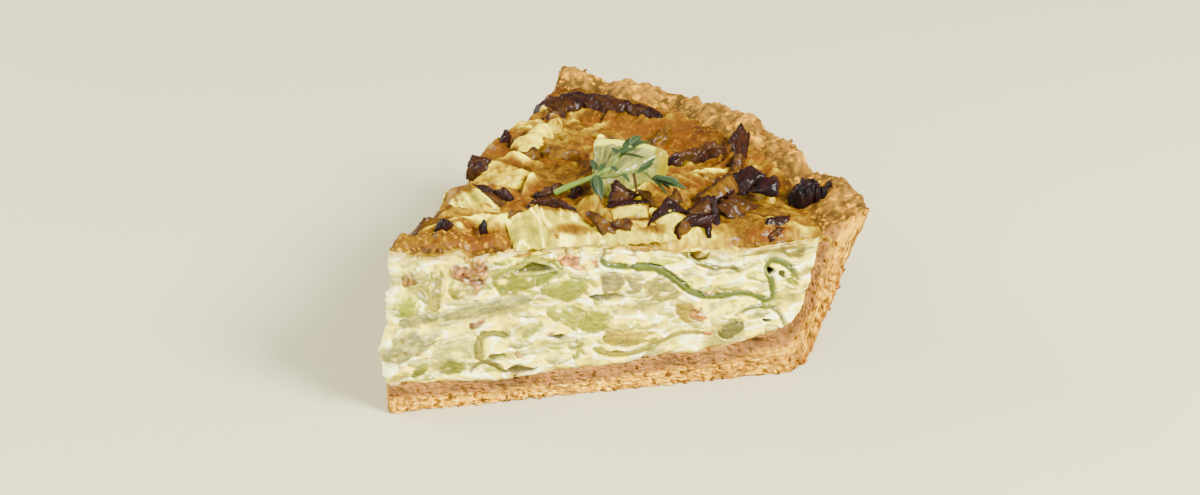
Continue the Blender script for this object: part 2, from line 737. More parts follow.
    def build(self) -> Object:
        """Builds the whole case as one closed piece."""
        shape = Shape()
        share = lap((140, 40, 20, 4))
        along, through = (np.interp(share, range(5), ends) for ends in ((0, 1, 1, 0, 0), (0, 0, 1, 1, 0)))
        reach, up = self.section(along, through).T
        depth = -self.depth * np.minimum(1, reach / 8)
        turns = np.linspace(0.013, FORM.angle - 0.013, self.sweep_steps)
        places = np.array([
            FORM.face(Side.FRONT, reach, depth, up),
            *(spots(reach * math.cos(turn), reach * math.sin(turn), up) for turn in turns),
            FORM.face(Side.BACK, reach, depth, up)])[:, :-1]
        along, through = (np.broadcast_to(part[:-1], places.shape[:2]) for part in (along, through))
        points = places + self.swell(places, along, through)
        index = shape.add(points, self.skin_tint(places, along, through), places)
        shape.belt(index)
        for side, ring in ((Side.FRONT, index[0]), (Side.BACK, index[-1])):
            edge, edge_share = self.add_cut(shape, side)
            shape.stitch(edge, edge_share, np.append(ring, ring[0]), share)
        return settle(shape.finish("pastry_case", PASTRY_CUT.build()), "pastry", "crust")


# ---------------------------------------------------------------- the filling and what is set in it


class Kind(Enum):
    """What a piece in the filling is."""

    ONION = "onion"
    LEEK = "leek"
    RIBBON = "ribbon"
    BACON = "bacon"
    HOLLOW = "hollow"


@dataclass(frozen=True)
class Inset:
    """A piece of onion, leek or bacon, or a hollow, where the knife went through it.

    Its outline or its line is given as distance from the tip and height in turn, point by point. A line
    has a width at its start and one at its end.
    """

    kind: Kind
    body: tuple
    edge: tuple
    points: tuple
    lift: float = 0.3
    ribs: float = 0.0
    width: tuple[float, float] = (0.0, 0.0)


ONION, LEEK, RIBBON, BACON, HOLLOW = Kind
DEEPER = {ONION: 1.4, LEEK: 1.3, RIBBON: 1.0, BACON: 0.9, HOLLOW: 0.95}
EDGE_DEEPER = 1.15
USUAL, LIT_BY = np.array((222.0, 210.0, 168.0)), np.array((6.0, 9.0, 15.0))
FRONT_INSETS = (
    Inset(ONION, (207, 200, 164), (232, 226, 200), (2.8, 22, 3.6, 23.1, 7.8, 23.5, 13.2, 24.1, 19, 25.6, 24,
        26.3, 29.4, 26.9, 33.4, 27.3, 32.7, 25.1, 29.4, 23.6, 23.9, 22.6, 18.8, 21.9, 13.1, 21.5, 8.1, 20.9,
        3.1, 20.3), 0.45, 0.5),
    Inset(ONION, (206, 199, 166), (238, 232, 206), (-1.2, 16.4, 1.2, 18.5, 5.2, 20.1, 9.4, 20, 12.8, 18.5,
        11.6, 17.1, 10.3, 15.8, 7.8, 14.6, 5.5, 13.4, 2.3, 13.2, -1, 13.6), 1.3),
    Inset(ONION, (224, 218, 186), (240, 234, 208), (10.2, 12.8, 12.5, 16.8, 17.3, 17.9, 20.1, 16.8, 19.6,
        12.6, 16.2, 10.4, 13.3, 9.1, 10.4, 9.9)),
    Inset(LEEK, (206, 192, 136), (232, 224, 182), (10.1, 33.8, 11.9, 34.2, 13, 31.9, 13.2, 29, 12.7, 25.4,
        10.7, 24, 9.4, 27, 9.2, 30.6), 0.35, 1.2),
    Inset(LEEK, (210, 204, 142), (236, 229, 189), (2.6, 27.9, 5.3, 28.6, 7.3, 26.8, 7.6, 25.1, 5.7, 23.3, 3.2,
        23.2, 1.2, 25.3), 1, 0.3),
    Inset(LEEK, (208, 196, 134), (228, 218, 172), (14.2, 29.6, 15.6, 29.2, 18, 29.4, 18.6, 27.6, 16.8, 26.4,
        14.8, 26.9), ribs=0.4),
    Inset(BACON, (196, 160, 108), (222, 196, 150), (3.2, 32.6, 5.8, 32.3, 6.4, 30.5, 4.6, 30, 3.3, 30.3),
        0.4),
    Inset(BACON, (206, 160, 124), (232, 204, 166), (14.7, 34.4, 17.2, 35.6, 19.3, 36, 22.5, 35.4, 23.1, 32.4,
        22.5, 29.8, 20.4, 27.4, 19.3, 29.4, 17, 30.9, 15.3, 31.9), 0.55),
    Inset(LEEK, (200, 192, 124), (226, 218, 168), (23.5, 31.8, 26.4, 33.1, 30.7, 34.1, 36.4, 34.1, 38.7, 32.5,
        37.6, 30, 34.9, 28.6, 33, 26.3, 30.2, 26.8, 26.2, 26.6, 24.1, 29.1), 0.35, 0.8),
    Inset(RIBBON, (214, 205, 140), (196, 186, 118), (24.3, 30.4, 27.5, 32.9, 32, 34.3, 36.6, 33.8, 38.6, 32),
        width=(0.5, 0.9)),
    Inset(HOLLOW, (150, 134, 42), (112, 98, 24), (28.8, 32.1, 30.3, 33, 32.4, 33.6, 35, 33.3, 36.9, 31.9,
        34.6, 31.7, 31.3, 31.7), -0.5),
    Inset(LEEK, (192, 184, 84), (208, 200, 120), (32.7, 28.2, 33.3, 30.6, 35.3, 31, 37.4, 31, 35.6, 29, 34.3,
        27.4)),
    Inset(LEEK, (206, 199, 138), (226, 221, 178), (33.6, 27.9, 37.1, 29, 40.3, 29.4, 43.6, 28.9, 44, 26.8,
        42.7, 24.3, 39.2, 23.3, 35.6, 25.4), 0.4, 0.4),
    Inset(HOLLOW, (176, 164, 116), (158, 146, 92), (44.5, 24.7, 47.6, 24.8, 51.3, 24.3, 51.8, 23.3, 48.7,
        23.1, 45.1, 23.5), -0.35),
    Inset(LEEK, (212, 205, 150), (230, 222, 178), (35.1, 21.8, 37, 22.9, 41.4, 22.2, 43.4, 20, 42.3, 16.4,
        39.1, 18, 36.6, 19.5), 0.4, 0.3),
    Inset(LEEK, (212, 203, 142), (230, 222, 176), (43.6, 20.8, 46.5, 21.5, 49.1, 20.3, 48.9, 16.1, 46.5, 15.1,
        43.9, 15.2, 41.9, 17.3), 0.4, 0.3),
    Inset(HOLLOW, (138, 128, 70), (120, 112, 60), (35.6, 15.3, 37.6, 15.9, 40, 15.1, 38, 14.5), -0.4),
    Inset(LEEK, (196, 186, 130), (214, 206, 156), (39.8, 13.4, 41.3, 13.8, 42.9, 13.3, 42.7, 11.8, 40, 11.9),
        0.2),
    Inset(LEEK, (212, 196, 122), (228, 214, 156), (47.8, 14.3, 50.6, 15.5, 52.7, 13.3, 51, 11.6, 48.4, 12.5),
        ribs=0.4),
    Inset(RIBBON, (204, 192, 136), (178, 166, 108), (20.6, 11.4, 20.3, 14.6, 21.2, 17, 24, 17.5, 26.6, 16.3),
        0.35, 0.4, width=(2.2, 1.2)),
    Inset(LEEK, (192, 182, 108), (214, 204, 146), (5.6, 8.7, 6.9, 11.1, 9.1, 11.9, 10.1, 10.2, 11.9, 11, 14.5,
        12.7, 17.3, 10.5, 16.5, 8.4, 12.5, 8.5, 8.9, 8.7), 0.35, 0.7),
    Inset(HOLLOW, (180, 172, 116), (150, 140, 86), (22.4, 12.2, 24, 12.6, 26.7, 12.3, 26.9, 11.2, 24.3, 11,
        22.8, 11.3), -0.25),
    Inset(RIBBON, (172, 152, 92), (150, 128, 70), (18.2, 8.5, 19.9, 10, 21.5, 10.7, 23.5, 9.8, 25.6, 8.2),
        0.25, width=(0.9, 1.3)),
    Inset(HOLLOW, (158, 142, 100), (130, 114, 76), (25.5, 7.9, 27.2, 9, 29, 9.5, 31, 8.3, 33.5, 8.4, 32.3,
        7.2, 30.1, 7, 28.2, 6.6, 26.6, 7), -0.3),
    Inset(ONION, (210, 203, 152), (230, 224, 184), (29.1, 15.5, 30.3, 17.7, 33.6, 19.1, 34.2, 18.1, 32.5,
        16.2, 30.6, 15.1), 0.2),
    Inset(BACON, (204, 178, 150), (228, 208, 176), (18.4, 20.3, 19.5, 21.1, 21.7, 21.5, 22, 20.5, 20.2, 19.2,
        18.7, 19), 0.2),
    Inset(BACON, (220, 176, 142), (244, 222, 190), (37.9, 35.4, 40.4, 35.2, 43.3, 33.9, 45.8, 33.2, 46.4,
        31.3, 43.2, 30.9, 40.7, 31.6, 38.6, 33.1), 0.35),
    Inset(RIBBON, (186, 170, 96), (158, 142, 72), (52.7, 35.2, 58.5, 35, 63.6, 33.8, 66.8, 31.7, 68.8, 29.9,
        72, 28.6, 75.7, 28.3, 77.4, 27.1), ribs=0.5, width=(2.1, 0.8)),
    Inset(ONION, (198, 182, 128), (226, 212, 164), (78.2, 30.6, 80.2, 31.9, 83.3, 32.3, 87.7, 32.9, 92.1,
        33.1, 92.5, 31.8, 91.5, 29, 88.7, 29.4, 84.6, 31, 81.4, 30.5), ribs=0.4),
    Inset(ONION, (200, 190, 156), (226, 217, 182), (46.9, 29.4, 49.3, 30, 53.9, 28, 56.3, 25.6, 54, 23.9,
        50.6, 24.8, 47.2, 25.4), 0.35, 0.3),
    Inset(ONION, (208, 197, 152), (230, 220, 180), (56.3, 25.9, 58.6, 27.1, 62.2, 26.2, 64.2, 23.7, 63.4,
        21.8, 59.9, 21.5, 57.1, 23.1), 0.35, 0.3),
    Inset(LEEK, (212, 192, 132), (234, 218, 168), (63.5, 20.2, 65.4, 21.8, 67.8, 20.2, 69.7, 16.9, 68.4, 15.2,
        65.6, 15.6, 63.9, 18), ribs=0.5),
    Inset(BACON, (222, 172, 122), (236, 204, 156), (67.2, 19, 69.3, 18.2, 70.2, 16.2, 68.6, 15.6, 67, 16.9),
        0.35),
    Inset(HOLLOW, (178, 166, 114), (158, 146, 92), (73.1, 12.7, 74.4, 14.8, 77.6, 15.8, 79.1, 14.1, 79, 12,
        77, 10.6, 75, 10.2, 73.4, 11.3), 0.15, 0.3),
    Inset(ONION, (214, 198, 142), (236, 222, 176), (47.7, 15.3, 50.9, 16.3, 54.8, 15.6, 58.8, 14.4, 60.1,
        11.8, 56.5, 10.9, 51.7, 10.9, 47.7, 12.6), 0.25, 0.8),
    Inset(RIBBON, (212, 192, 104), (186, 170, 86), (45.4, 11.5, 48.5, 9.9, 52.1, 9.3, 56.1, 9.8, 59.7, 11.1,
        62.8, 12.8, 66.4, 13.2, 69.9, 12.5), 0.4, 0.6, width=(1.7, 1)),
    Inset(RIBBON, (150, 160, 92), (112, 134, 66), (47.8, 35.1, 47.2, 33.3, 48.5, 31.6, 53.1, 30.7, 57, 30.5,
        60.1, 29.4, 63.7, 26.2, 66.6, 23.3, 70.6, 21.6, 74.6, 21.4, 78.2, 21.9, 81.5, 20.7, 83.9, 19.4, 85.2,
        20.2, 84.8, 23.8, 83.5, 27.2, 84.3, 28.9, 86.4, 28.7, 88.9, 26.8, 91.1, 23.9), 0.4, width=(1.3, 1.5)),
    Inset(RIBBON, (172, 176, 112), (120, 138, 74), (54, 30.6, 57.2, 30.3, 60.1, 29.2, 63.7, 26.2, 66.4, 23.6,
        69.4, 22.2), ribs=0.5, width=(2.4, 1.6)),
    Inset(RIBBON, (176, 172, 110), (138, 140, 76), (78.2, 16.7, 80, 17.7, 82.8, 17.9, 85.5, 17.2, 87, 15.6,
        87.9, 13.6, 88.2, 12.6), 0.35, width=(1.1, 0.8)),
    Inset(HOLLOW, (126, 88, 14), (92, 62, 10), (66.8, 32.7, 68.6, 33.2, 70.6, 32.7, 70.4, 30.9, 68.5, 30.6,
        67, 31.4), -1.1),
    Inset(HOLLOW, (46, 40, 14), (60, 54, 24), (83.6, 27.5, 84.6, 27.7, 85.4, 26.6, 84.6, 25.8, 83.8, 26.2),
        -1.4),
    Inset(HOLLOW, (160, 150, 84), (140, 130, 70), (86.3, 26.5, 87.6, 26.4, 87.7, 24.6, 86.5, 25.2), -0.4),
    Inset(LEEK, (206, 194, 112), (226, 214, 140), (88.1, 24.8, 89.7, 25, 91, 22.7, 89, 22.7), 0.2),
    Inset(HOLLOW, (128, 114, 80), (140, 126, 90), (83.1, 14.7, 84.6, 14.8, 85.4, 14.1, 84, 13.8), -0.6),
)

SORTS = ((ONION, (210, 203, 170), (234, 228, 200)), (LEEK, (206, 199, 140), (230, 223, 178)),
         (RIBBON, (200, 194, 138), (188, 184, 124)), (BACON, (212, 172, 140), (236, 210, 178)))
SORT_SHARES = (0.58, 0.18, 0.12, 0.12)


@dataclass
class Filling:
    """The set custard, with both cut faces carved and tinted where the knife met what is in it.

    It reaches a bite deep into the pastry and overlaps the browned skin, and its foot is sunk.
    """

    front_columns: int = 390
    back_columns: int = 235
    rows: int = 122
    tip_columns: int = 9
    wall_columns: int = 14
    corner_at: float = 88.7
    bite: float = 0.15
    overlap: float = 0.9
    tip_up: tuple[float, float] = (7.0, 38.5)
    sunk: float = 1.6
    noise: Noise = Noise(23)

    def edges(self, case: PastryCase) -> None:
        """Takes the floor and the wall of the filling from the pastry's inside."""
        inside = case.inner
        corner = int(np.argmin(np.abs(inside[:, 0] - self.corner_at)))
        floor, wall = inside[: corner + 1], inside[corner:]
        self.floor = (floor[:, 0], floor[:, 1] - self.bite)
        far = way_along(wall)
        self.wall = (far / far[-1], wall[:, 0] + self.bite, wall[:, 1])
        self.corner = wall[0]

    def patch(self, side: Side, across: Array, rise: Array) -> tuple[Array, Array]:
        """Places on a cut face, spread between its four edges.

        Args:
            side: which face.
            across: 0 at the tip, 1 at the wall.
            rise: 0 on the floor, 1 under the browned top.

        Returns:
            Distance from the tip, and height.
        """
        start = FORM.tip_start

        def floor(share: Array) -> Array:
            """Places on the floor."""
            along = start + (self.corner[0] - start) * share
            return np.stack([along, np.interp(along, *self.floor)], -1)

        def top(share: Array) -> Array:
            """Places under the browned top."""
            along = start + (self.wall[1][-1] - start) * share
            return np.stack([along, FORM.gold_height(side, along) + self.overlap], -1)

        tip = np.stack([start + 0 * rise, self.tip_up[0] * (1 - rise) + self.tip_up[1] * rise], -1)
        wall = np.stack([np.interp(rise, self.wall[0], part) for part in self.wall[1:]], -1)
        none = 0 * across
        place = mix(floor(across), top(across), rise)
        place += (1 - across)[..., None] * (tip - mix(floor(none), top(none), rise))
        place += across[..., None] * (wall - mix(self.corner, top(none + 1), rise))
        return place[..., 0], place[..., 1]

    def loose_insets(self, side: Side) -> list[Inset]:
        """Seeded pieces: large ones for the back cut, and small pale ones between the rest on both."""
        small = (9.4, 12.2, 15.0, 18.4, 21.6, 24.6, 27.6, 30.6, 33.6, 36.0)
        if side is Side.FRONT:
            return self.layers_of(19, small, (2.2, 7.5), (1.1, 2.6), 12)
        large = (11.0, 14.5, 18.0, 21.5, 25.0, 28.5, 32.0)
        return self.layers_of(29, small, (2.2, 7.5), (1.1, 2.6), 12) + self.layers_of(
            7, large, (5, 18), (2.2, 5.0), 7)

    @staticmethod
    def layers_of(seed: int, heights: tuple, longs: tuple, thicks: tuple, paler: float) -> list[Inset]:
        """Pieces laid in rough layers.

        Args:
            seed: which set.
            heights: the height of each layer.
            longs: shortest and longest piece.
            thicks: thinnest and thickest piece.
            paler: how much paler than usual they are, for those nearly hidden in the custard.

        Returns:
            The pieces, from the lowest layer up.
        """
        rng = np.random.default_rng(seed)
        turns = np.linspace(0, 2 * np.pi, 9, endpoint=False)
        found = []

        def shaded(tone: tuple, shade: float) -> tuple:
            """A tone made paler."""
            return tuple(int(part + shade) for part in tone)

        for height in heights:
            along = rng.uniform(1, 6)
            while along < 89:
                long, thick = rng.uniform(*longs), rng.uniform(*thicks)
                middle, lean = along + long / 2, rng.uniform(-0.35, 0.4)
                up = height + rng.uniform(-1.3, 1.3)
                kind, body, edge = SORTS[rng.choice(4, p=SORT_SHARES)]
                wobble = 1 + rng.uniform(-0.25, 0.25, 9)
                shade = rng.uniform(-10, 8) + paler
                low, roof = 8.2 + 2.5 * (middle > 76), float(follow(FORM.gold_line, middle)) - 1.0
                shown = low < up < roof and middle < 92 - 6 * (up < 16)
                if shown and kind is RIBBON:
                    line = tuple((middle + long * 0.9 * s, up + lean * long * s + 0.8 * rng.uniform(-1, 1))
                                 for s in np.linspace(-0.5, 0.5, 6))
                    width = (rng.uniform(0.9, 1.6), rng.uniform(0.6, 1.2))
                    found.append(Inset(kind, shaded(body, shade), shaded(edge, shade), line, width=width))
                elif shown:
                    if kind is BACON:
                        long, thick = long * 0.4, thick * 0.8
                    line = tuple((middle + long / 2 * w * math.cos(t),
                                  up + thick / 2 * w * math.sin(t) + lean * long / 2 * math.cos(t))
                                 for t, w in zip(turns, wobble))
                    lift, ribs = rng.uniform(0.25, 0.6), rng.uniform(0, 0.6)
                    found.append(Inset(kind, shaded(body, shade), edge, line, lift, ribs))
                along += long + rng.uniform(-0.5, 4.0)
        return found

    def carve(self, side: Side, along: Array, up: Array) -> tuple[Array, Array]:
        """Lift and tint of places on a cut face.

        Args:
            side: which face.
            along: distance from the tip.
            up: height.

        Returns:
            How far each point stands out, and its colour.
        """
        n = self.noise
        salt = 0.0 if side is Side.FRONT else 300.0
        place = spots(along, up, salt)
        bent_along = along + 1.4 * n(place + 5, 6, 2)
        bent_up = up - 0.12 * along + 0.9 * n(place + 8, 5, 2)
        fold = 1 - 2.1 * np.abs(n.smooth(spots(bent_along / 2.4, bent_up, salt), 5.6))
        small_fold = 1 - 2.1 * np.abs(n.smooth(spots(bent_along / 2, bent_up, salt + 30), 2.9))
        soft = n(place, 2.4, 3)
        lift = 0.62 * fold + 0.24 * small_fold + 0.34 * soft
        tint = coats(
            (210, 196, 140), ((240, 230, 192), ease(-0.35, 0.7, fold * 0.7 + 0.5 * soft)),
            ((252, 250, 238), 0.9 * ease(0.5, 0.9, small_fold) * ease(-0.3, 0.3, fold)))
        insets = self.loose_insets(side) + (list(FRONT_INSETS) if side is Side.FRONT else [])
        flat = np.stack([along.ravel(), up.ravel()], axis=1)
        lift, tint = lift.ravel(), tint.reshape(-1, 3).copy()
        wobble = (0.42 * n(place, 2.8, 2) + 0.14 * n.smooth(place, 0.9)).ravel()
        for number, inset in enumerate(insets):
            self.set_in(inset, number, flat, wobble, lift, tint, salt)
        lift, tint = lift.reshape(along.shape), tint.reshape(*along.shape, 3)
        near, _ = n.cells(place + (0, 0, 60), 2.1)
        size = 0.055 + 0.1 * ease(-0.1, 0.9, n.smooth(place, 2.1))
        pore = ease(size * 1.35, size * 0.6, near) * (n.smooth(place, 9) > -0.05)
        tint = mix(tint, tint * np.array([0.62, 0.58, 0.45]), 0.8 * pore)
        gold = FORM.gold_height(side, along) - up + 0.35 * n(place, 2.2, 2)
        over_floor = up - np.interp(along, *self.floor)
        tint = coats(
            tint, ((222, 186, 104), 0.75 * ease(1.5, 0, gold)),
            ((216, 186, 142), 0.55 * ease(1.1, 0.1, over_floor + 0.5 * n(place, 2, 2))))
        return lift - 0.34 * pore - 0.35 * ease(0.8, 0, over_floor), tint

    def set_in(self, inset: Inset, number: int, flat: Array, wobble: Array, lift: Array, tint: Array,
               salt: float) -> None:
        """Sets one piece into the fields of lift and tint, in place.

        Args:
            inset: the piece.
            number: shifts the noise, so that no two are alike.
            flat: distance from the tip and height of each place.
            wobble: how far its edge wanders at each place.
            lift, tint: the fields.
            salt: shifts the noise between the two cuts.
        """
        kind, strip = inset.kind, inset.kind is RIBBON
        closed = inset.width == (0.0, 0.0)
        line = rounded_path(np.reshape(inset.points, (-1, 2)), closed, 5)
        margin = 1.2 + max(inset.width)
        low, high = line.min(0) - margin, line.max(0) + margin
        near = np.flatnonzero(((flat > low) & (flat < high)).all(axis=1))
        if not len(near):
            return
        places = flat[near]
        if closed:
            gap, _ = to_path(places, np.vstack([line, line[:1]]))
            depth = np.where(within(places, line), gap, -gap)
            half = max(0.6, 0.5 * float(np.min(line.max(0) - line.min(0))))
        else:
            gap, share = to_path(places, line)
            ends = np.minimum(1, np.minimum(share, 1 - share) * 14 + 0.35)
            half = max(inset.width) / 2
            depth = (inset.width[0] + (inset.width[1] - inset.width[0]) * share) / 2 * ends - gap
        depth = depth + wobble[near] * (0.3 if strip else min(1.0, half / 1.6))
        along, up = places.T
        offset = places - line.mean(0)
        n, spot = self.noise, spots(along, up, salt + 3.7 * number)
        melt = 0.32 if strip else 0.1 + 0.9 * ease(0, 0.5, n.smooth(spot, 3.2))
        mask = ease(-melt, 1.2 * melt, depth)
        smear = n(spots(along / 2, up - 0.1 * along, salt + 90), 2.3, 3)
        smear = 0.85 * ease(0.22, 0.5, smear) * (kind in (ONION, LEEK, BACON))
        mask *= 1 - smear
        body, edge = (paint(*np.clip(USUAL + deeper * (np.array(tone) - LIT_BY - USUAL), 20, 250))
                      for tone, deeper in ((inset.body, DEEPER[kind]), (inset.edge, EDGE_DEEPER)))
        if kind is BACON:
            mottle = n(spot, 1.3, 4)
            fat = n.smooth(spots(along * 0.9, up / 1.8, salt + number), 0.9)
            colour = coats(
                mix(body, edge, ease(0, 0.6, mottle + 0.5 * fat)),
                ((160, 100, 66), ease(0, 0.55, -mottle)),
                ((214, 130, 84), 0.45 * ease(0.1, 0.6, fat) * ease(0.2, -0.4, mottle)))
            dome = inset.lift * (0.9 + 1.6 * mottle)
        elif strip:
            colour = mix(edge, body, ease(0.05, half * 0.75, depth + 0.08 * n.smooth(spot, 1.2)))
            colour = colour * (1 + 0.14 * n(spot, 2.5, 2))[:, None]
            dome = 0.8 * inset.lift * ease(-0.2, half, depth)
        else:
            colour = mix(body, edge, 0.85 * ease(0.55, 0.05, depth))
            colour = mix(colour, edge, 0.35 * ease(0, 0.6, n(spot, 3, 3)))
            dome = 1.5 * inset.lift * (0.6 * ease(0, 0.45, depth) + 0.4 * ease(0, min(1.8, half), depth))
            tilt = np.sin(number * np.array([2.4, 3.9])) * np.array([0.05, 0.16])
            dome = dome + offset @ tilt + 0.12 * n(spot, 1.5, 2)
            grain = n.smooth(spots(along / 3.5, up - 0.14 * along, salt + number), 0.55)
            colour = mix(colour, edge, 0.5 * ease(0.1, 0.8, grain))
            dim = 0.12 * ease(0.1, 0.8, -grain) + 0.1 * ease(0, 1.5, -offset[:, 1])
            colour = colour * (1 - dim)[:, None]
        if inset.ribs:
            spread = np.linalg.svd(line - line.mean(0), full_matrices=False)[2]
            bow = 0.05 * (offset @ spread[0]) ** 2 / max(half, 1)
            across = offset @ spread[1] + bow + 0.4 * n.smooth(spot, 4)
            rib = n.smooth(spots(offset @ spread[0] / 7, across, salt + number), 0.95)
            colour = mix(colour, edge, 0.6 * inset.ribs * ease(0.1, 0.8, rib))
            dome = dome + 0.22 * inset.ribs * rib * mask
        if kind is HOLLOW and inset.lift < 0:
            colour = mix(edge, body, ease(-0.05, 0.5, depth))
        crisp = (1 - smear) * ease(0.8, 0.2, melt)
        groove = 0.3 * hill(depth / 0.2) - 0.16 * hill((depth + 0.42) / 0.3)
        lift[near] = lift[near] * (1 - 0.55 * mask) + dome * mask - groove * crisp
        lip = 0.16 * crisp * hill((depth + 0.25) / 0.2) * (not strip)
        tint[near] = mix(mix(tint[near], paint(248, 243, 222), lip), np.clip(colour, 0.003, 0.92), mask)

    def build(self, case: PastryCase) -> Object:
        """Builds the filling as one closed piece, inside the pastry and under the browned top."""
        self.edges(case)
        strips, tints, lifts = [], [], []
        for side, count in ((Side.FRONT, self.front_columns), (Side.BACK, self.back_columns)):
            along, up = self.patch(side, *sheet((0, 1, count + 1), (0, 1, self.rows + 1)))
            lift, tint = self.carve(side, along, up)
            soft = ease(0, 1.5, self.wall[1][-1] - along)
            strips.append(FORM.face(side, along, lift * (0.4 + 0.6 * soft) - 0.1, up))
            tints.append(tint)
            lifts.append(lift[0])
        turns = np.linspace(0, 1, self.tip_columns + 2)[1:-1, None]
        angles = -np.pi / 2 - turns * (np.pi - FORM.angle)
        centre = FORM.inward * FORM.tip_round / math.sin(FORM.angle / 2)
        radius = FORM.tip_round - 0.1 + lifts[0] * (1 - turns) + lifts[1] * turns
        tip = spots(
            centre[0] + radius * np.cos(angles), centre[1] + radius * np.sin(angles), strips[0][:1, :, 2])
        tip_tint = mix(tints[0][:1], tints[1][:1], turns)
        wall_turns = np.linspace(FORM.angle, 0, self.wall_columns + 2)[1:-1, None]
        wall_along = np.interp(np.linspace(0, 1, self.rows + 1), *self.wall[:2])[None, :]
        wall = spots(wall_along * np.cos(wall_turns), wall_along * np.sin(wall_turns), strips[0][-1:, :, 2])
        wall_tint = np.broadcast_to(paint(230, 222, 190), wall.shape)
        shape = Shape()
        index = shape.add(
            np.concatenate([strips[0][::-1], tip, strips[1], wall]),
            np.concatenate([tints[0][::-1], tip_tint, tints[1], wall_tint]))
        shape.grid(np.concatenate([index, index[:1]]))
        shape.faces.append(index[:, 0].tolist())
        shape.close_sunk(index[:, -1], self.sunk)
        return settle(shape.finish("filling_cut", CUSTARD.build(), leans=True), "custard", "filling")


# ---------------------------------------------------------------- the browned top


SKIN_LIGHT, SKIN_DEEP = np.array((0.20, 0.158, 0.001)), np.array((0.14, 0.108, 0.001))
BROWN_RAMP = tuple(paint(*shade) for shade in (
    (240, 231, 190), (229, 206, 122), (210, 168, 72), (184, 126, 44), (152, 90, 32), (112, 58, 28),
    (66, 34, 22), (32, 20, 16)))


def browned(amount: Array) -> Array:
    """Colour of the baked top, from 0 for pale custard over 0.4 for amber to 1 for char."""
    at = np.clip(amount, 0, 1) * (len(BROWN_RAMP) - 1)
    found = [np.interp(at, range(len(BROWN_RAMP)), [shade[i] for shade in BROWN_RAMP]) for i in range(3)]
    return 0.8 * np.stack(found, -1)


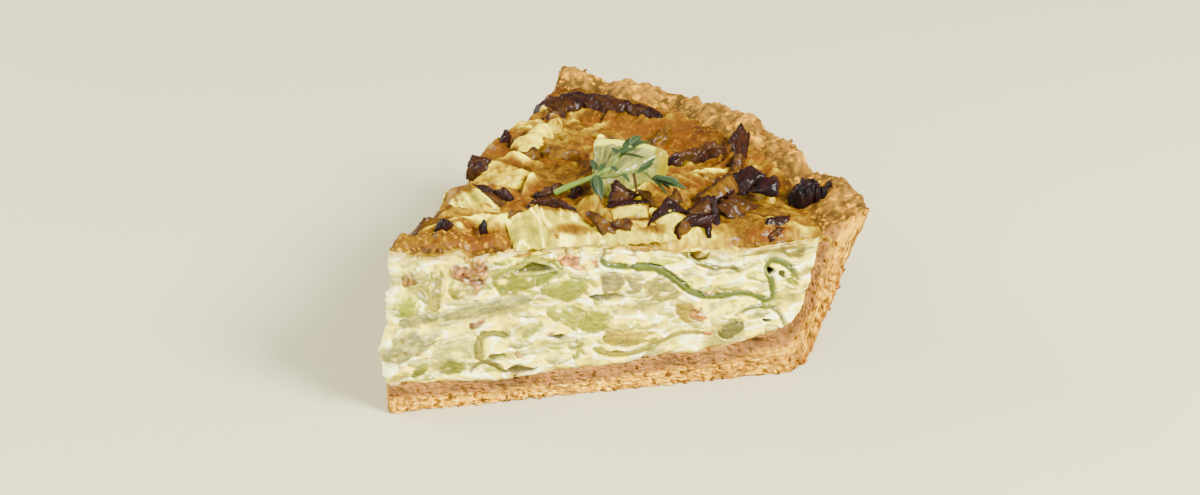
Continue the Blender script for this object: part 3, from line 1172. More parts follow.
@dataclass
class BrownedTop:
    """The glossy browned skin of the filling, with onion edges standing out of it."""

    rings: int = 300
    turns: int = 280
    start: float = 1.3
    end: float = 98.0
    edge_round: float = 2.2
    skirt: int = 9
    ridge_count: int = 95
    tuck: float = 1.3
    sunk: float = 1.4
    front_tones: tuple = (
        (0, 0.38), (8, 0.40), (20, 0.42), (27, 0.44), (31, 0.24), (45, 0.22), (50, 0.32), (56, 0.22),
        (63, 0.14), (72, 0.20), (78, 0.36), (86, 0.38), (92, 0.26), (97, 0.34))
    patches: tuple = (
        (23, 10, 6, 3, -0.30), (31, 25, 8, 5, -0.16), (44, 36, 7, 6, 0.20), (46, 53, 8, 5, -0.16),
        (78, 42, 9, 8, 0.10), (73, 21, 9, 6, -0.04), (36, 17, 6, 4, 0.04), (70, 2, 6, 3, -0.12),
        (88, 24, 6, 8, -0.04), (91, 13, 5, 6, -0.20), (31, 27.5, 8, 4, -0.22), (35, 44, 6, 5, 0.12),
        (79, 51, 7, 7, 0.14), (82, 1, 5, 3, 0.08), (92.6, 2, 4, 3, -0.10))
    noise: Noise = Noise(31)

    def ridges(self) -> Array:
        """Seeded edges of onion layers: a row each of place, length, width, turn, bow, height and tone."""
        rng = np.random.default_rng(17)
        found = []
        for _ in range(self.ridge_count):
            reach, turn = 96 * math.sqrt(rng.random()), rng.uniform(0, FORM.angle)
            found.append((
                reach * math.cos(turn), reach * math.sin(turn), rng.uniform(5, 17), rng.uniform(0.9, 2.4),
                rng.normal(0.15, 0.8), rng.uniform(-0.035, 0.035), rng.uniform(0.4, 1.7),
                rng.uniform(-0.3, 0.3)))
        return np.array(found)

    def relief(self, x: Array, y: Array) -> tuple[Array, Array]:
        """Lumps of the top.

        Args:
            x, y: places in slice millimetres.

        Returns:
            Height over the smooth top, and how much darker or paler the ridges make each place.
        """
        n, place = self.noise, spots(x, y)
        lift = 1.05 * n(place, 11, 2) + 0.42 * n(place + 9, 4, 2) + 0.09 * n(place, 1.1, 2)
        lift = lift + 0.35 * (1 - 2 * np.abs(n.smooth(place + 40, 3)))
        calm = np.maximum(ease(66, 76, x) * ease(30, 20, y), self.amber(x, y))
        lift = lift * (1 - 0.5 * calm) + 0.1 * (1 - 2.2 * np.abs(n.smooth(place + 70, 1.2)))
        lift = lift + 0.35 * ease(30, 24, x) * ease(9, 5, y) * n(place + 25, 1.5, 3)
        shade = np.zeros_like(x)
        for at_x, at_y, length, width, turn, bow, height, tone in self.ridges():
            along = (x - at_x) * math.cos(turn) + (y - at_y) * math.sin(turn)
            across = (y - at_y) * math.cos(turn) - (x - at_x) * math.sin(turn) + bow * along**2
            ends = ease(length / 2, length / 4, np.abs(along))
            rise = ease(-1.6 * width, 0, across) * (1 - ease(0, 0.45 * width, across))
            lift = lift + height * ends * rise * (1 - 0.65 * calm)
            crest, behind = hill(across / (0.35 * width)), hill((across - 0.6 * width) / (0.5 * width))
            shade = shade + ends * (1.2 * tone * crest - 0.12 * rise + 0.22 * behind)
        return lift, shade

    @staticmethod
    def amber(x: Array, y: Array) -> Array:
        """Where the custard between the onions is smooth, thick and amber, 0 to 1."""
        return hill((x - 70) / 14, (y - 52) / 12)

    def tint(self, x: Array, y: Array, lift: Array, shade: Array) -> Array:
        """Colour of the top."""
        n, place = self.noise, spots(x, y)
        reach, turn = np.hypot(x, y), np.degrees(np.arctan2(y, x))
        rough = 1 - 0.7 * self.amber(x, y)
        amount = 0.41 + 0.21 * n(place + 30, 11, 3) + 0.2 * rough * n(place + 50, 2.8, 4)
        amount += 0.07 * rough * n(place + 65, 0.9, 2) + 0.8 * rough * shade - 0.05 * np.clip(lift, -1.5, 2)
        front = 0.75 * ease(7, 2, y)
        front_tone = follow(self.front_tones, x) + 0.16 * n(place + 12, 3, 4) + 0.12 * n(place + 66, 1.1, 2)
        amount = amount * (1 - front) + front_tone * front
        for at_x, at_y, wide, deep, shift in self.patches:
            amount += shift * hill((x - at_x) / wide, (y - at_y) / deep)
        amount += 0.26 * ease(78, 94, reach) * ease(36, 52, turn)
        orange = ease(-0.15, 0.45, n(place + 17, 13, 2)) + hill((x - 66) / 16, (y - 28) / 14)
        orange = np.clip(orange + 1.2 * self.amber(x, y), 0, 1)
        orange = orange * ease(0.26, 0.45, amount) * ease(0.8, 0.6, amount)
        fleck = ease(0.42, 0.75, n(place + 80, 1.6, 2)) * ease(0, 0.5, n(place + 90, 9, 2))
        tint = coats(browned(amount), ((196, 116, 34), 0.6 * orange), ((112, 56, 28), 0.6 * fleck))
        return self.speckle(tint, place, ease(32, 24, x) * ease(9, 5, y))

    def speckle(self, tint: Array, place: Array, share: Array) -> Array:
        """Adds yellow specks everywhere, and more of them with pinkish spots where the share is high."""
        bright = ease(0.42, 0.62, self.noise(place + 110, 0.85, 2))
        pink = ease(0.1, 0.5, self.noise(place + 120, 2.4, 3))
        bright *= 0.17 + 0.33 * share
        return coats(tint, ((178, 112, 74), 0.5 * pink * share), ((230, 198, 118), bright))

    def build(self) -> Object:
        """Builds the top as one closed piece that hangs a little over the cut faces."""
        n = self.noise
        turn, reach = sheet((0, FORM.angle, self.turns), (self.start, self.end, self.rings))
        x, y = reach * np.cos(turn), reach * np.sin(turn)
        from_back = FORM.from_back(x, y)
        lift, shade = self.relief(x, y)
        near = np.minimum(np.minimum(y, from_back), reach - self.start)
        soft = np.clip(1 - near / self.edge_round, 0, 1)
        petals = ease(25, 29, x) * ease(50, 46, x) * ease(11, 7, y)
        high = FORM.top_height(x, y) + lift * (1 - 0.35 * soft) * (1 - 0.6 * petals) - 0.9 * petals
        high -= self.edge_round * 0.8 * (1 - np.sqrt(1 - soft**2 * 0.96))
        high -= 1.7 * ease(8, 1, y) * ease(25, 29, x) * ease(67, 62, x)
        high -= follow(FORM.back_dips, reach) * ease(6.5, 1.5, from_back + 0.8 * n(spots(x, y), 3, 2))
        shape = Shape()
        index = shape.add(spots(x, y, high), self.tint(x, y, lift, shade))
        shape.grid(index)
        edge = shape.rim_of(index.T)
        angle, along, (x, y, top) = turn.ravel()[edge], reach.ravel()[edge], np.vstack(shape.points)[edge].T
        side = np.repeat(range(4), (self.rings - 1, self.turns - 1) * 2)
        round_out = np.stack([np.cos(angle), np.sin(angle)], -1)
        back_out = np.array((-math.sin(FORM.angle), math.cos(FORM.angle)))
        out = np.choose(side[:, None], [np.array((0.0, -1.0)), round_out, back_out, -round_out])
        front, back = FORM.gold_height(Side.FRONT, along), FORM.gold_height(Side.BACK, along)
        gold = np.choose(side, [front, top - 2.2, back, front])
        for _ in range(4):
            out = (np.roll(out, 1, axis=0) + 2 * out + np.roll(out, -1, axis=0)) / 4
        out /= np.linalg.norm(out, axis=1)[:, None]
        low = np.minimum(gold + 0.7 * n(spots(x, y), 4, 3), top - 0.8)
        share = np.arange(1, self.skirt + 1)[:, None] / self.skirt
        rings = spots(x, y, top * (1 - share) + low * share)
        lumps = 0.42 * n(rings, 3.2, 3) + 0.36 * n(rings + 20, 1.3, 3)
        amount = follow(self.front_tones, np.clip(x, 0, 97)) + 0.04 - 0.16 * share
        amount = amount + 0.24 * n(rings + 60, 3.4, 3) + 0.2 * n(rings, 1.1, 3) - 0.12 * lumps
        tone = self.speckle(browned(amount), rings, 0.3 + 0.7 * ease(32, 24, x))
        tints = coats(tone, ((230, 214, 160), 0.55 * ease(0.7, 1, share)))
        bulge = 0.30 * np.sin(0.7 * math.pi * np.minimum(1, share * 1.1)) + lumps
        bulge[-1] /= 2
        rings[..., :2] += out * bulge[..., None]
        tucked = rings[-1:].copy()
        tucked[..., :2] -= out * self.tuck
        last = shape.hang(edge, np.concatenate([rings, tucked]), np.concatenate([tints, tints[-1:]]))
        shape.close_sunk(last, self.sunk)
        return settle(shape.finish("browned_top", BROWNED.build(), leans=True), "custard", "filling")


# ---------------------------------------------------------------- onion petals on top


@dataclass(frozen=True)
class Curl:
    """A roasted petal or a shred of one: a thin curled leaf of onion, in slice millimetres.

    Its cross-section runs round an arch from its first to its last angle, where 0 is the foot on the
    right of its length, 90 its crest and 180 its left foot. Petal 0 stands for the small shreds.
    """

    petal: int
    x: float
    y: float
    length: float
    width: float
    height: float
    turn: float
    body: float
    char: float
    crumple: float
    last: float = 150.0
    first: float = 0.0
    inside: float = 0.3
    bow: float = 0.0


CURLS = (
    Curl(1, 25.2, 33, 5.4, 3.2, 2.6, 8, 0.7, 0.5, 1.8, last=200, first=-10, inside=0.5),
    Curl(2, 24.2, 19.2, 8.4, 2.4, 3.2, -30, 0.84, 0.95, 1, last=190, bow=0.2),
    Curl(2, 28.6, 17, 5.6, 2.8, 2.6, -28, 0.82, 0.95, 1.1, last=200, bow=0.2),
    Curl(3, 14.8, 5.6, 4.8, 2.2, 2, 8, 0.82, 0.8, 1.2, last=180),
    Curl(3, 23, 4.8, 2.6, 2.2, 2.3, 70, 0.92, 1, 1.1, last=190),
    Curl(4, 38.4, 11, 11.4, 2.2, 2.2, -14, 0.76, 0.9, 0.7, inside=0.7, bow=-0.6),
    Curl(5, 52.4, 2.2, 5.6, 2.4, 1.7, 6, 0.6, 0.45, 1.5, last=175),
    Curl(7, 65.6, 2.4, 4.2, 2.8, 1.8, 12, 0.54, 0.35, 1.3, last=170),
    Curl(10, 96.8, 14.6, 7.6, 5.2, 6.4, 14, 0.95, 1, 2.8, last=200, first=-8, inside=0.9),
    Curl(10, 99.8, 13, 6.6, 4.8, 5.4, -36, 0.93, 1, 2.8, last=200, first=-8, inside=0.9, bow=0.3),
    Curl(10, 101.4, 10, 6.2, 3.2, 3.6, -60, 0.8, 0.7, 2.2, last=200, first=-8, inside=0.9, bow=0.4),
    Curl(9, 87, 15.2, 5.6, 3, 2.4, 10, 0.14, 0.15, 0.9, last=180),
    Curl(12, 76.4, 35.4, 17, 3.6, 3.4, 12, 0.7, 0.8, 1.2, inside=0.75, bow=-0.4),
    Curl(13, 51.6, 72, 15, 8.6, 3.2, 4, 0.74, 0.6, 0.8, last=160, inside=0.7, bow=0.5),
    Curl(13, 60.6, 69.8, 18, 6.6, 2.7, -30, 0.74, 0.6, 0.8, last=160, inside=0.7, bow=0.4),
    Curl(13, 69.4, 63, 13, 4, 2, -46, 0.76, 0.7, 0.8, last=160, inside=0.7, bow=0.3),
    Curl(13, 48.8, 67.2, 9, 4.2, 2.4, 20, 0.66, 0.6, 1.4, last=160, inside=0.5, bow=0.3),
    Curl(14, 38.4, 44.6, 9, 5.6, 2.8, 30, 0.1, 0.25, 0.7, bow=0.3),
    Curl(14, 42.4, 51.4, 9, 5.4, 3, 50, 0.12, 0.3, 0.8, bow=0.3),
    Curl(0, 33.6, 47.8, 5, 3.2, 3.2, 60, 0.84, 0.9, 1.2, last=190, inside=0.8),
    Curl(0, 46.6, 56.4, 8, 4, 2.6, 60, 0.16, 0.3, 0.9),
    Curl(0, 39.6, 18.6, 8, 2.4, 1.6, 24, 0.72, 0.8, 1.2, last=180, inside=0.5, bow=0.3),
    Curl(0, 44.6, 17.4, 5, 2.6, 2.4, 70, 0.76, 0.8, 1.2, last=180, inside=0.5, bow=0.3),
    Curl(0, 66.8, 13.8, 9, 4, 2, 30, 0.36, 0.3, 0.8, bow=0.4),
    Curl(0, 30.6, 25.4, 10, 4, 1.9, 18, 0.14, 0.15, 0.7, inside=0.2, bow=-0.4),
    Curl(0, 44.6, 36.8, 10, 4.2, 2.2, -20, 0.44, 0.4, 0.8, bow=0.4),
    Curl(0, 38, 37, 7, 3.6, 2.4, 50, 0.52, 0.5, 0.9, inside=0.4, bow=0.4),
    Curl(0, 70.6, 48.4, 12, 4.2, 2.4, 46, 0.5, 0.5, 0.9, inside=0.4, bow=0.4),
    Curl(0, 57.8, 49.4, 11, 4.2, 2.3, -30, 0.34, 0.3, 0.8, bow=-0.4),
    Curl(0, 84.8, 30.6, 8, 3.4, 2.2, 70, 0.56, 0.6, 0.9, inside=0.4, bow=0.4),
    Curl(0, 77.2, 24.4, 9, 3.2, 1.8, -30, 0.44, 0.4, 0.8, bow=-0.4),
    Curl(0, 91, 21.6, 6, 3, 2.4, 60, 0.6, 0.6, 1, inside=0.5, bow=-0.4),
)


@dataclass(frozen=True)
class Flap:
    """A torn flat piece of roasted onion: a thin four-cornered sheet, bellied and crumpled.

    Its four corners are given as x, y and z in turn, and go round it. Its pool is a browned spot: its
    place and its size as shares of the sheet, and its tone.
    """

    petal: int
    corners: tuple
    tone: float
    char: float
    belly: float
    crumple: float
    ribs: float = 0.0
    thick: float = 0.55
    plum: float = 0.6
    burnt_side: bool = False
    pool: tuple = ()


FLAPS = (
    Flap(1, (22.6, 33, 40, 24, 34.4, 44.2, 28.4, 33.6, 43, 28, 31.6, 40), 0.62, 0.5, 0.7, 1.1, plum=0.8),
    Flap(2, (15.6, 17.4, 40.8, 22.1, 20.2, 43.8, 29.8, 11.8, 39, 17.2, 11.4, 37.6), 0.07, 0.35, 1.3, 0.35,
        0.9, burnt_side=True, pool=(0.45, 0.8, 0.3, 0.22, 0.2)),
    Flap(2, (21.6, 20.6, 43.4, 30.4, 16.6, 41, 30.6, 12.4, 38.4, 22.6, 18, 42.2), 0.55, 0.5, 0.6, 0.5, 0.3),
    Flap(3, (7.6, 7.2, 38.6, 11, 10.4, 41.4, 18, 8.4, 41.4, 17.4, 4.2, 38.8), 0.5, 0.25, 0.8, 0.7, plum=0.9,
        burnt_side=True),
    Flap(4, (27.6, 7.4, 40.3, 35.2, 10.4, 41.9, 37.6, -1.1, 37.5, 28.8, -1.1, 37.2), 0.05, 0.12, 1.2, 0.35, 1,
        plum=0.1, burnt_side=True),
    Flap(4, (33.8, 11, 41.9, 43.8, 9, 40.2, 48.4, -1, 37.2, 36.4, -1.2, 37.3), 0.09, 0.3, 1.5, 0.4, 1,
        plum=0.1, burnt_side=True, pool=(0.52, 0.68, 0.46, 0.13, 0.3)),
    Flap(4, (27.8, 8.4, 39.6, 29.5, 9.8, 41.8, 32, 9.2, 41.4, 29.4, 6.2, 39.8), 0.42, 0.35, 0.4, 0.5,
        plum=0.5),
    Flap(5, (44.4, 6, 41.8, 47.4, 4, 42, 51, 1.2, 38.4, 48.3, -0.2, 36.8), 0.47, 0.4, 0.5, 0.5, plum=0.3,
        burnt_side=True),
    Flap(5, (49.6, 7.8, 41.4, 59.2, 8.2, 41.2, 58.6, 4.4, 39, 50.2, 4, 39.4), 0.06, 0.4, 1.1, 0.7, 0.4,
        plum=0.3),
    Flap(5, (49.6, 8.8, 41, 56.8, 9.8, 41.6, 59, 8.4, 41.4, 50, 7, 41.8), 0.76, 0.8, 0.5, 0.6),
    Flap(5, (48, 4.6, 39.6, 58.8, 4.6, 39.6, 60, 2.4, 38.4, 50, 1.4, 38.2), 0.46, 0.35, 0.7, 0.6, plum=0.3,
        pool=(0.5, 0.9, 0.4, 0.5, 0.12)),
    Flap(5, (44.6, 3.6, 39, 62.4, 4, 38.9, 63.4, -1, 36.4, 46, -1, 36.7), 0.1, 0.1, 0.8, 0.6, 0.5, plum=0.1,
        pool=(0.75, 0.4, 0.2, 0.3, 0.3)),
    Flap(6, (56.2, 2.2, 37.8, 62.7, 5.4, 44, 68.2, 6.8, 38.4, 62.2, 4.5, 41.4), 0.84, 0.9, 0.3, 0.6,
        thick=0.8, plum=0.9),
    Flap(6, (57.4, 3, 37.6, 62.4, 4.8, 41.8, 67.4, 6.4, 38.2, 62.6, 1.6, 37), 0.1, 0.25, 0.5, 0.4, 0.4,
        plum=0.2),
    Flap(6, (57.4, 5.6, 38, 62.9, 5.6, 43.8, 68, 7, 38.2, 63.8, 9.6, 37.8), 0.55, 0.5, 0.5, 0.6),
    Flap(7, (66, 7.4, 38.4, 72.2, 7.8, 42.4, 73.6, 6, 39, 68.2, 4.4, 37.8), 0.6, 0.5, 0.4, 0.5,
        burnt_side=True),
    Flap(7, (71.9, 7.9, 42.4, 73.7, 7.2, 42, 74.4, 4.2, 35.9, 72.2, 4.2, 36.1), 0.86, 0.9, 0.3, 0.5,
        plum=0.9),
    Flap(7, (62.7, 2.8, 37.6, 67.9, 5.1, 39.4, 73.9, 5.2, 38.6, 71.3, 3.4, 36.8), 0.84, 0.9, 0.4, 0.4,
        plum=0.9),
    Flap(7, (69.8, 3.6, 37.4, 72, 3.7, 37.4, 71.3, 1.2, 35.2, 70.4, 1.2, 35.2), 0.86, 0.9, 0.2, 0.4,
        plum=0.9),
    Flap(8, (74, 8.4, 39.2, 79.1, 12.6, 39.8, 84.6, 11.4, 36.4, 78, 5.2, 35.6), 0.6, 0.2, 0.9, 0.8, thick=0.3,
        plum=0.8),
    Flap(8, (74, 8.6, 40.2, 79.3, 12.8, 40.8, 79.8, 15, 37.6, 74.2, 11.4, 37.8), 0.78, 0.8, 0.4, 0.7,
        plum=0.9),
    Flap(9, (70.6, 12.8, 39.8, 79.7, 17.6, 42.9, 80.4, 13.8, 39.4, 73.3, 9.2, 38.6), 0.42, 0.5, 0.8, 0.6, 0.3,
        burnt_side=True),
    Flap(9, (80, 17.2, 42.4, 84.8, 19.4, 43, 87.6, 17, 40.8, 81.2, 13.2, 38.2), 0.9, 0.9, 0.7, 0.7, plum=0.7),
    Flap(9, (82.6, 13.6, 39.2, 86.7, 15.4, 41.6, 89.4, 14, 41.5, 89, 11.8, 38), 0.88, 0.9, 0.6, 0.5,
        plum=0.7),
    Flap(11, (83.1, 2.2, 35.2, 84.2, 4.2, 37.4, 89.6, 5, 37, 89.2, 3.2, 35.2), 0.82, 0.9, 0.4, 0.5, plum=0.9),
    Flap(11, (83.6, 1, 34.6, 85.6, 2.6, 36.2, 88.8, 2.8, 35.3, 84.4, -0.6, 33.4), 0.6, 0.35, 0.5, 0.9,
        plum=0.7),
    Flap(12, (84.4, 38, 40.8, 88.4, 42.2, 43, 90.2, 39.6, 41.2, 85.8, 28, 36.6), 0.74, 0.8, 0.5, 0.8,
        plum=0.8),
    Flap(0, (50, 9.4, 41.4, 52.3, 12, 45.6, 57.8, 11, 42, 53.4, 8.8, 41), 0.64, 0.6, 0.5, 0.9, plum=0.8),
    Flap(0, (57.8, 12.4, 42.6, 60.4, 11, 42.6, 60.2, 8.2, 40.8, 57.6, 10.2, 41.4), 0.47, 0.3, 0.5, 0.7,
        plum=0.2),
    Flap(0, (62.4, 12, 39.6, 66.6, 13.2, 41.6, 67.4, 10.2, 39.6, 63, 9, 39), 0.5, 0.4, 0.5, 0.7, plum=0.3),
)


@dataclass
class RoastedPetals:
    """All the curls and flaps of onion, gathered into one piece for each node."""

    steps: int = 84
    ring: int = 30
    thick: float = 0.7
    sink: float = 0.9
    noise: Noise = Noise(41)

    def add(self, shape: Shape, curl: Curl, number: int) -> None:
        """Adds one curl to a mesh.

        Args:
            shape: the mesh so far.
            curl: its sizes and tones.
            number: shifts the noise, so that no two are alike.
        """
        n, salt = self.noise, 31.0 * number
        along, share = sheet((-1, 1, self.steps), (0, 1, self.ring))
        half, turn = curl.length / 2, math.radians(curl.turn)
        first, last = np.radians((curl.first, curl.last))
        frill = 1 + 0.16 * n(spots(along * curl.length / 3, salt), 1, 3) * share
        angle = first + (last - first) * share * frill
        taper = np.clip(1 - np.abs(along + 0.1 * n.smooth(spots(share * 2, salt), 1)) ** 2.3, 0, 1) ** 0.55
        taper = 0.06 + 0.94 * taper
        unrolled = share * (curl.width + curl.height)
        rings, tints = [], []
        for inside in (0, 1):
            shift = inside * self.thick * (1 - 0.55 * share**2) * (0.4 + 0.6 * taper)
            spot = spots(along * half, unrolled, salt)
            dent = curl.crumple * (0.5 * n(spot, 2.8, 2) + 0.18 * n(spot + 60, 1.1, 2))
            dent = dent + 0.021 * np.sin(share * 34 + 2 * n.smooth(spot, 5)) * (1 - inside)
            across = -np.cos(angle) * np.maximum(curl.width / 2 * taper + (dent - shift), 0.12)
            across = across + curl.bow * (along**2 - 0.4) * curl.length / 4
            up = np.sin(angle) * np.maximum(curl.height * taper + (dent - shift), 0.12)
            forth = along * half + 0.25 * dent * np.cos(angle)
            x = curl.x + forth * math.cos(turn) - across * math.sin(turn)
            y = curl.y + forth * math.sin(turn) + across * math.cos(turn)
            ground = FORM.top_height(np.clip(x, 0, 96), np.maximum(y, 0)) - self.sink
            points = spots(x, y, ground + up * (1 + self.sink / curl.height))
            streak = n(spots(forth / 2.5, unrolled, salt + 50 * inside), 0.9, 3)
            patch = n(points, 3, 3)
            tone = (curl.inside if inside else curl.body) + 0.10 * streak + 0.12 * patch
            free = ease(0.62, 1, share + 0.18 * patch) + 0.8 * ease(0.72, 1, np.abs(along) + 0.2 * patch)
            burnt = curl.char * (np.clip(free, 0, 1) + 0.5 * ease(0.1, 0.7, patch + 0.3 * dent))
            tone = tone + (0.95 - tone) * np.clip(burnt, 0, 1)
            plum = ease(0.55, 0.85, tone) * ease(-0.2, 0.5, n(points + 70, 2.2, 2))
            tint = coats(browned(tone), ((92, 44, 40), 0.45 * plum))
            rings.append(points[:, ::-1] if inside else points)
            tints.append(tint[:, ::-1] if inside else tint)
        shape.tube(np.concatenate(rings, axis=1), np.concatenate(tints, axis=1))

    def add_flap(self, shape: Shape, flap: Flap, number: int) -> None:
        """Adds one flat torn piece to a mesh.

        Args:
            shape: the mesh so far.
            flap: its corners and tones.
            number: shifts the noise, so that no two are alike.
        """
        n, salt = self.noise, 17.0 * number
        a, b, c, d = np.reshape(flap.corners, (4, 3))
        long = (np.linalg.norm(b - a) + np.linalg.norm(c - d)) / 2
        deep = (np.linalg.norm(d - a) + np.linalg.norm(c - b)) / 2
        u, v = sheet(*((0, 1, int(np.clip(size / 0.16, 18, 80))) for size in (long, deep)))
        fray = 0.55 * flap.crumple + 0.1
        u_bent = u + fray / long * n(spots(v * deep, salt), 1.6, 3) * np.abs(2 * u - 1) ** 3
        v_bent = v + fray / deep * n(spots(u * long, salt + 5), 1.6, 3) * np.abs(2 * v - 1) ** 3
        middle = mix(mix(a, b, u_bent), mix(d, c, u_bent), v_bent)
        normal = np.cross(b - a + c - d, d - a + c - b)
        normal /= np.linalg.norm(normal)
        normal *= -1 if normal @ np.array([0.1, -0.6, 0.8]) < 0 else 1
        spot = spots(u * long, v * deep, salt)
        dent = flap.crumple * (0.65 * n(spot, 2.6, 2) + 0.12 * n.smooth(spot, 0.8))
        slant = u * long + 0.3 * v * deep + 0.5 * n.smooth(spot, 4)
        crease = 0.45 - 2 * np.abs(n.smooth(spots(slant / 3.4, v * deep / 14, salt), 1))
        rib = flap.ribs * (0.6 * crease + 0.14 * n.smooth(spots(slant / 1.3, v * deep / 9, salt + 3), 1))
        out = flap.belly * np.sin(np.pi * u) * np.sin(np.pi * v) + dent + rib
        edge = np.minimum(np.minimum(u, 1 - u) * long, np.minimum(v, 1 - v) * deep)
        thick = flap.thick * (0.25 + 0.75 * ease(0, 0.5, edge))
        streak = n(spots(u * long * 1.6, v * deep / 3, salt + 9), 1, 3)
        index = []
        for inside in (0, 1):
            points = middle + (out + thick * (0.5 - inside))[..., None] * normal
            patch = n(spot + 40 * inside, 2.6, 3)
            tone = flap.tone + 0.07 * streak + 0.12 * patch - 0.16 * rib
            burnt = ease(1.3, 0.1, edge + 0.7 * patch)
            if flap.burnt_side:
                burnt = 0.5 * burnt + ease(0.3, 0.04, v + 0.1 * patch)
            burnt = flap.char * np.clip(burnt + 0.5 * ease(0.2, 0.7, patch), 0, 1)
            tone = tone + (0.94 - tone) * burnt
            pale = coats(
                (172, 156, 92), ((226, 213, 160), ease(-0.8, 0.35, rib + 0.2 * streak + 0.5 * patch)),
                ((240, 232, 202), ease(0.1, 0.3, rib + 0.15 * streak)))
            tint = mix(browned(tone), pale, 0.9 * ease(0.3, 0.16, tone))
            if flap.pool:
                at_u, at_v, wide, tall, shade = flap.pool
                near = ((u - at_u) / wide) ** 2 + ((v - at_v) / tall) ** 2 + 0.3 * patch
                pool = browned(shade + 0.12 * ease(0.5, 0, near) + 0.1 * streak)
                tint = mix(tint, pool, ease(1.7, 0.4, near))
            dull = ease(0.5, 0.8, tone) * ease(-0.5, 0.4, n(points + 70, 2.2, 2))
            index.append(shape.add(points, coats(tint, ((90, 42, 34), 0.6 * flap.plum * dull))))
        shape.grid(index[0])
        shape.grid(index[1][:, ::-1])
        shape.belt(np.array([shape.rim_of(part) for part in index]))

    def build(self) -> None:
        """Builds every petal, and one piece of the smaller shreds between them."""
        material = ROASTED.build()
        for petal in sorted({leaf.petal for leaf in CURLS + FLAPS}):
            shape = Shape()
            for add, leaves in ((self.add, CURLS), (self.add_flap, FLAPS)):
                for number, leaf in enumerate(leaves):
                    if leaf.petal == petal:
                        add(shape, leaf, number)
            name = f"roasted_petal_{petal:02d}" if petal else "onion_shreds"
            nodes = [f"onion_petal_{petal:02d}"] if petal else []
            settle(shape.finish(name, material), "roasted_onion", *nodes)


# ---------------------------------------------------------------- lemon and thyme


@dataclass
class LemonPiece:
    """A sector of a lemon slice: wet flesh between pale membranes, with pith and peel outside."""

    tip: tuple[float, float] = (48.0, 13.2)
    radius: float = 18.5
    core: float = 1.8
    turn: float = math.radians(49.0)
    half: float = math.radians(30.0)
    front_rise: float = 2.8
    tilt: float = 0.12
    side_tilt: float = 0.30
    peel: float = 1.0
    pith: float = 1.3
    steps: tuple[int, int] = (120, 150)
    skirt: int = 12
    noise: Noise = Noise(53)

    def height(self, x: Array, y: Array) -> Array:
        """Height of the lemon's upper face at a place."""
        tilted = self.side_tilt * (x - self.tip[0]) + self.tilt * (y - self.tip[1])
        return FORM.top_height(x, np.maximum(y, 0)) + self.front_rise + tilted

    def build(self) -> Object:
        """Builds the piece, closed underneath."""
        n = self.noise
        share, side = sheet((0, 1, self.steps[0]), (-1, 1, self.steps[1]))
        reach = self.core + (self.radius - self.core) * share
        ragged = 1 + 0.05 * n(spots(reach / 3, np.sign(side) * 9), 1, 3) * np.abs(side) ** 8
        angle = self.turn + self.half * side * ragged
        arc = angle * reach
        x, y = self.tip[0] + reach * np.cos(angle), self.tip[1] + reach * np.sin(angle)
        flesh_end = self.radius - self.peel - self.pith
        flesh = ease(flesh_end + 0.25, flesh_end - 0.25, reach + 0.35 * n.smooth(spots(arc, 0), 2.2))
        sacs = n(spots(reach / 4.6, angle * 9.5, 3), 1, 3)
        strands = n.smooth(spots(reach / 5, angle * 26, 8), 1)
        membrane = ease(4.6, 2.4, reach + 0.6 * n.smooth(spots(arc, 4), 1.5))
        for spoke in (-0.62, 0.08, 0.74):
            offset = (side - spoke) * self.half * reach + 0.25 * n.smooth(spots(reach, spoke * 9), 3)
            membrane = np.maximum(membrane, hill(offset / 0.32))
        membrane *= ease(flesh_end + 0.6, flesh_end, reach)
        lift = flesh * (0.3 * sacs + 0.08 * strands - 0.2) + 0.15 * membrane + 0.1 * n(spots(x, y), 2, 3)
        edge = np.minimum(reach - self.core, self.radius - reach)
        edge = np.minimum(edge, (1 - np.abs(side)) * self.half * reach)
        lift -= 0.8 * (1 - np.sqrt(1 - np.clip(1 - edge / 0.8, 0, 1) ** 2 * 0.98))
        lift += 0.5 * np.sin(arc / 4 + 1) * ease(4, 16, reach)
        cloudy = ease(0, 0.7, n(spots(x, y, 5), 5, 2) - 0.5 * side)
        tint = coats(
            (172, 164, 116), ((200, 194, 152), ease(-0.5, 0.7, sacs + 0.3 * strands)),
            ((218, 214, 184), 0.5 * cloudy), ((216, 208, 164), 0.4 * membrane), ((228, 222, 178), 1 - flesh))
        rind = self.radius - 0.45 - 2.2 * ease(-0.55, -0.95, side)
        yellow = ease(rind - 0.5, rind + 0.4, reach + 0.3 * n.smooth(spots(arc, 7), 2))
        skin = mix(SKIN_LIGHT, SKIN_DEEP, ease(-0.4, 0.6, n(spots(x, y, 9), 3, 3)))
        tint = mix(tint, skin, yellow)
        shape = Shape()
        index = shape.add(spots(x, y, self.height(x, y) + lift), tint)
        shape.grid(index)
        rim = shape.rim_of(index)
        x, y, top = np.vstack(shape.points)[rim].T
        ground = FORM.top_height(x, np.maximum(y, 0)) - 0.5
        share = np.arange(1, self.skirt + 1)[:, None] / self.skirt
        rings = spots(x, y, top * (1 - share) + ground * share)
        bulge = 0.3 * np.sin(math.pi * share) + 0.5 * n(rings, 2, 3) - 0.6 * share
        out = rings[..., :2] - (self.tip + 11 * np.array([math.cos(self.turn), math.sin(self.turn)]))
        rings[..., :2] += out / np.linalg.norm(out, axis=-1)[..., None] * bulge[..., None]
        flank = coats(tint.reshape(-1, 3)[rim], ((206, 196, 132), 0.5 * share * (1 - yellow.ravel()[rim])))
        shape.faces.append(shape.hang(rim, rings, flank).tolist())
        return settle(shape.finish("lemon_sector", LEMON.build()), "lemon", "lemon_piece")


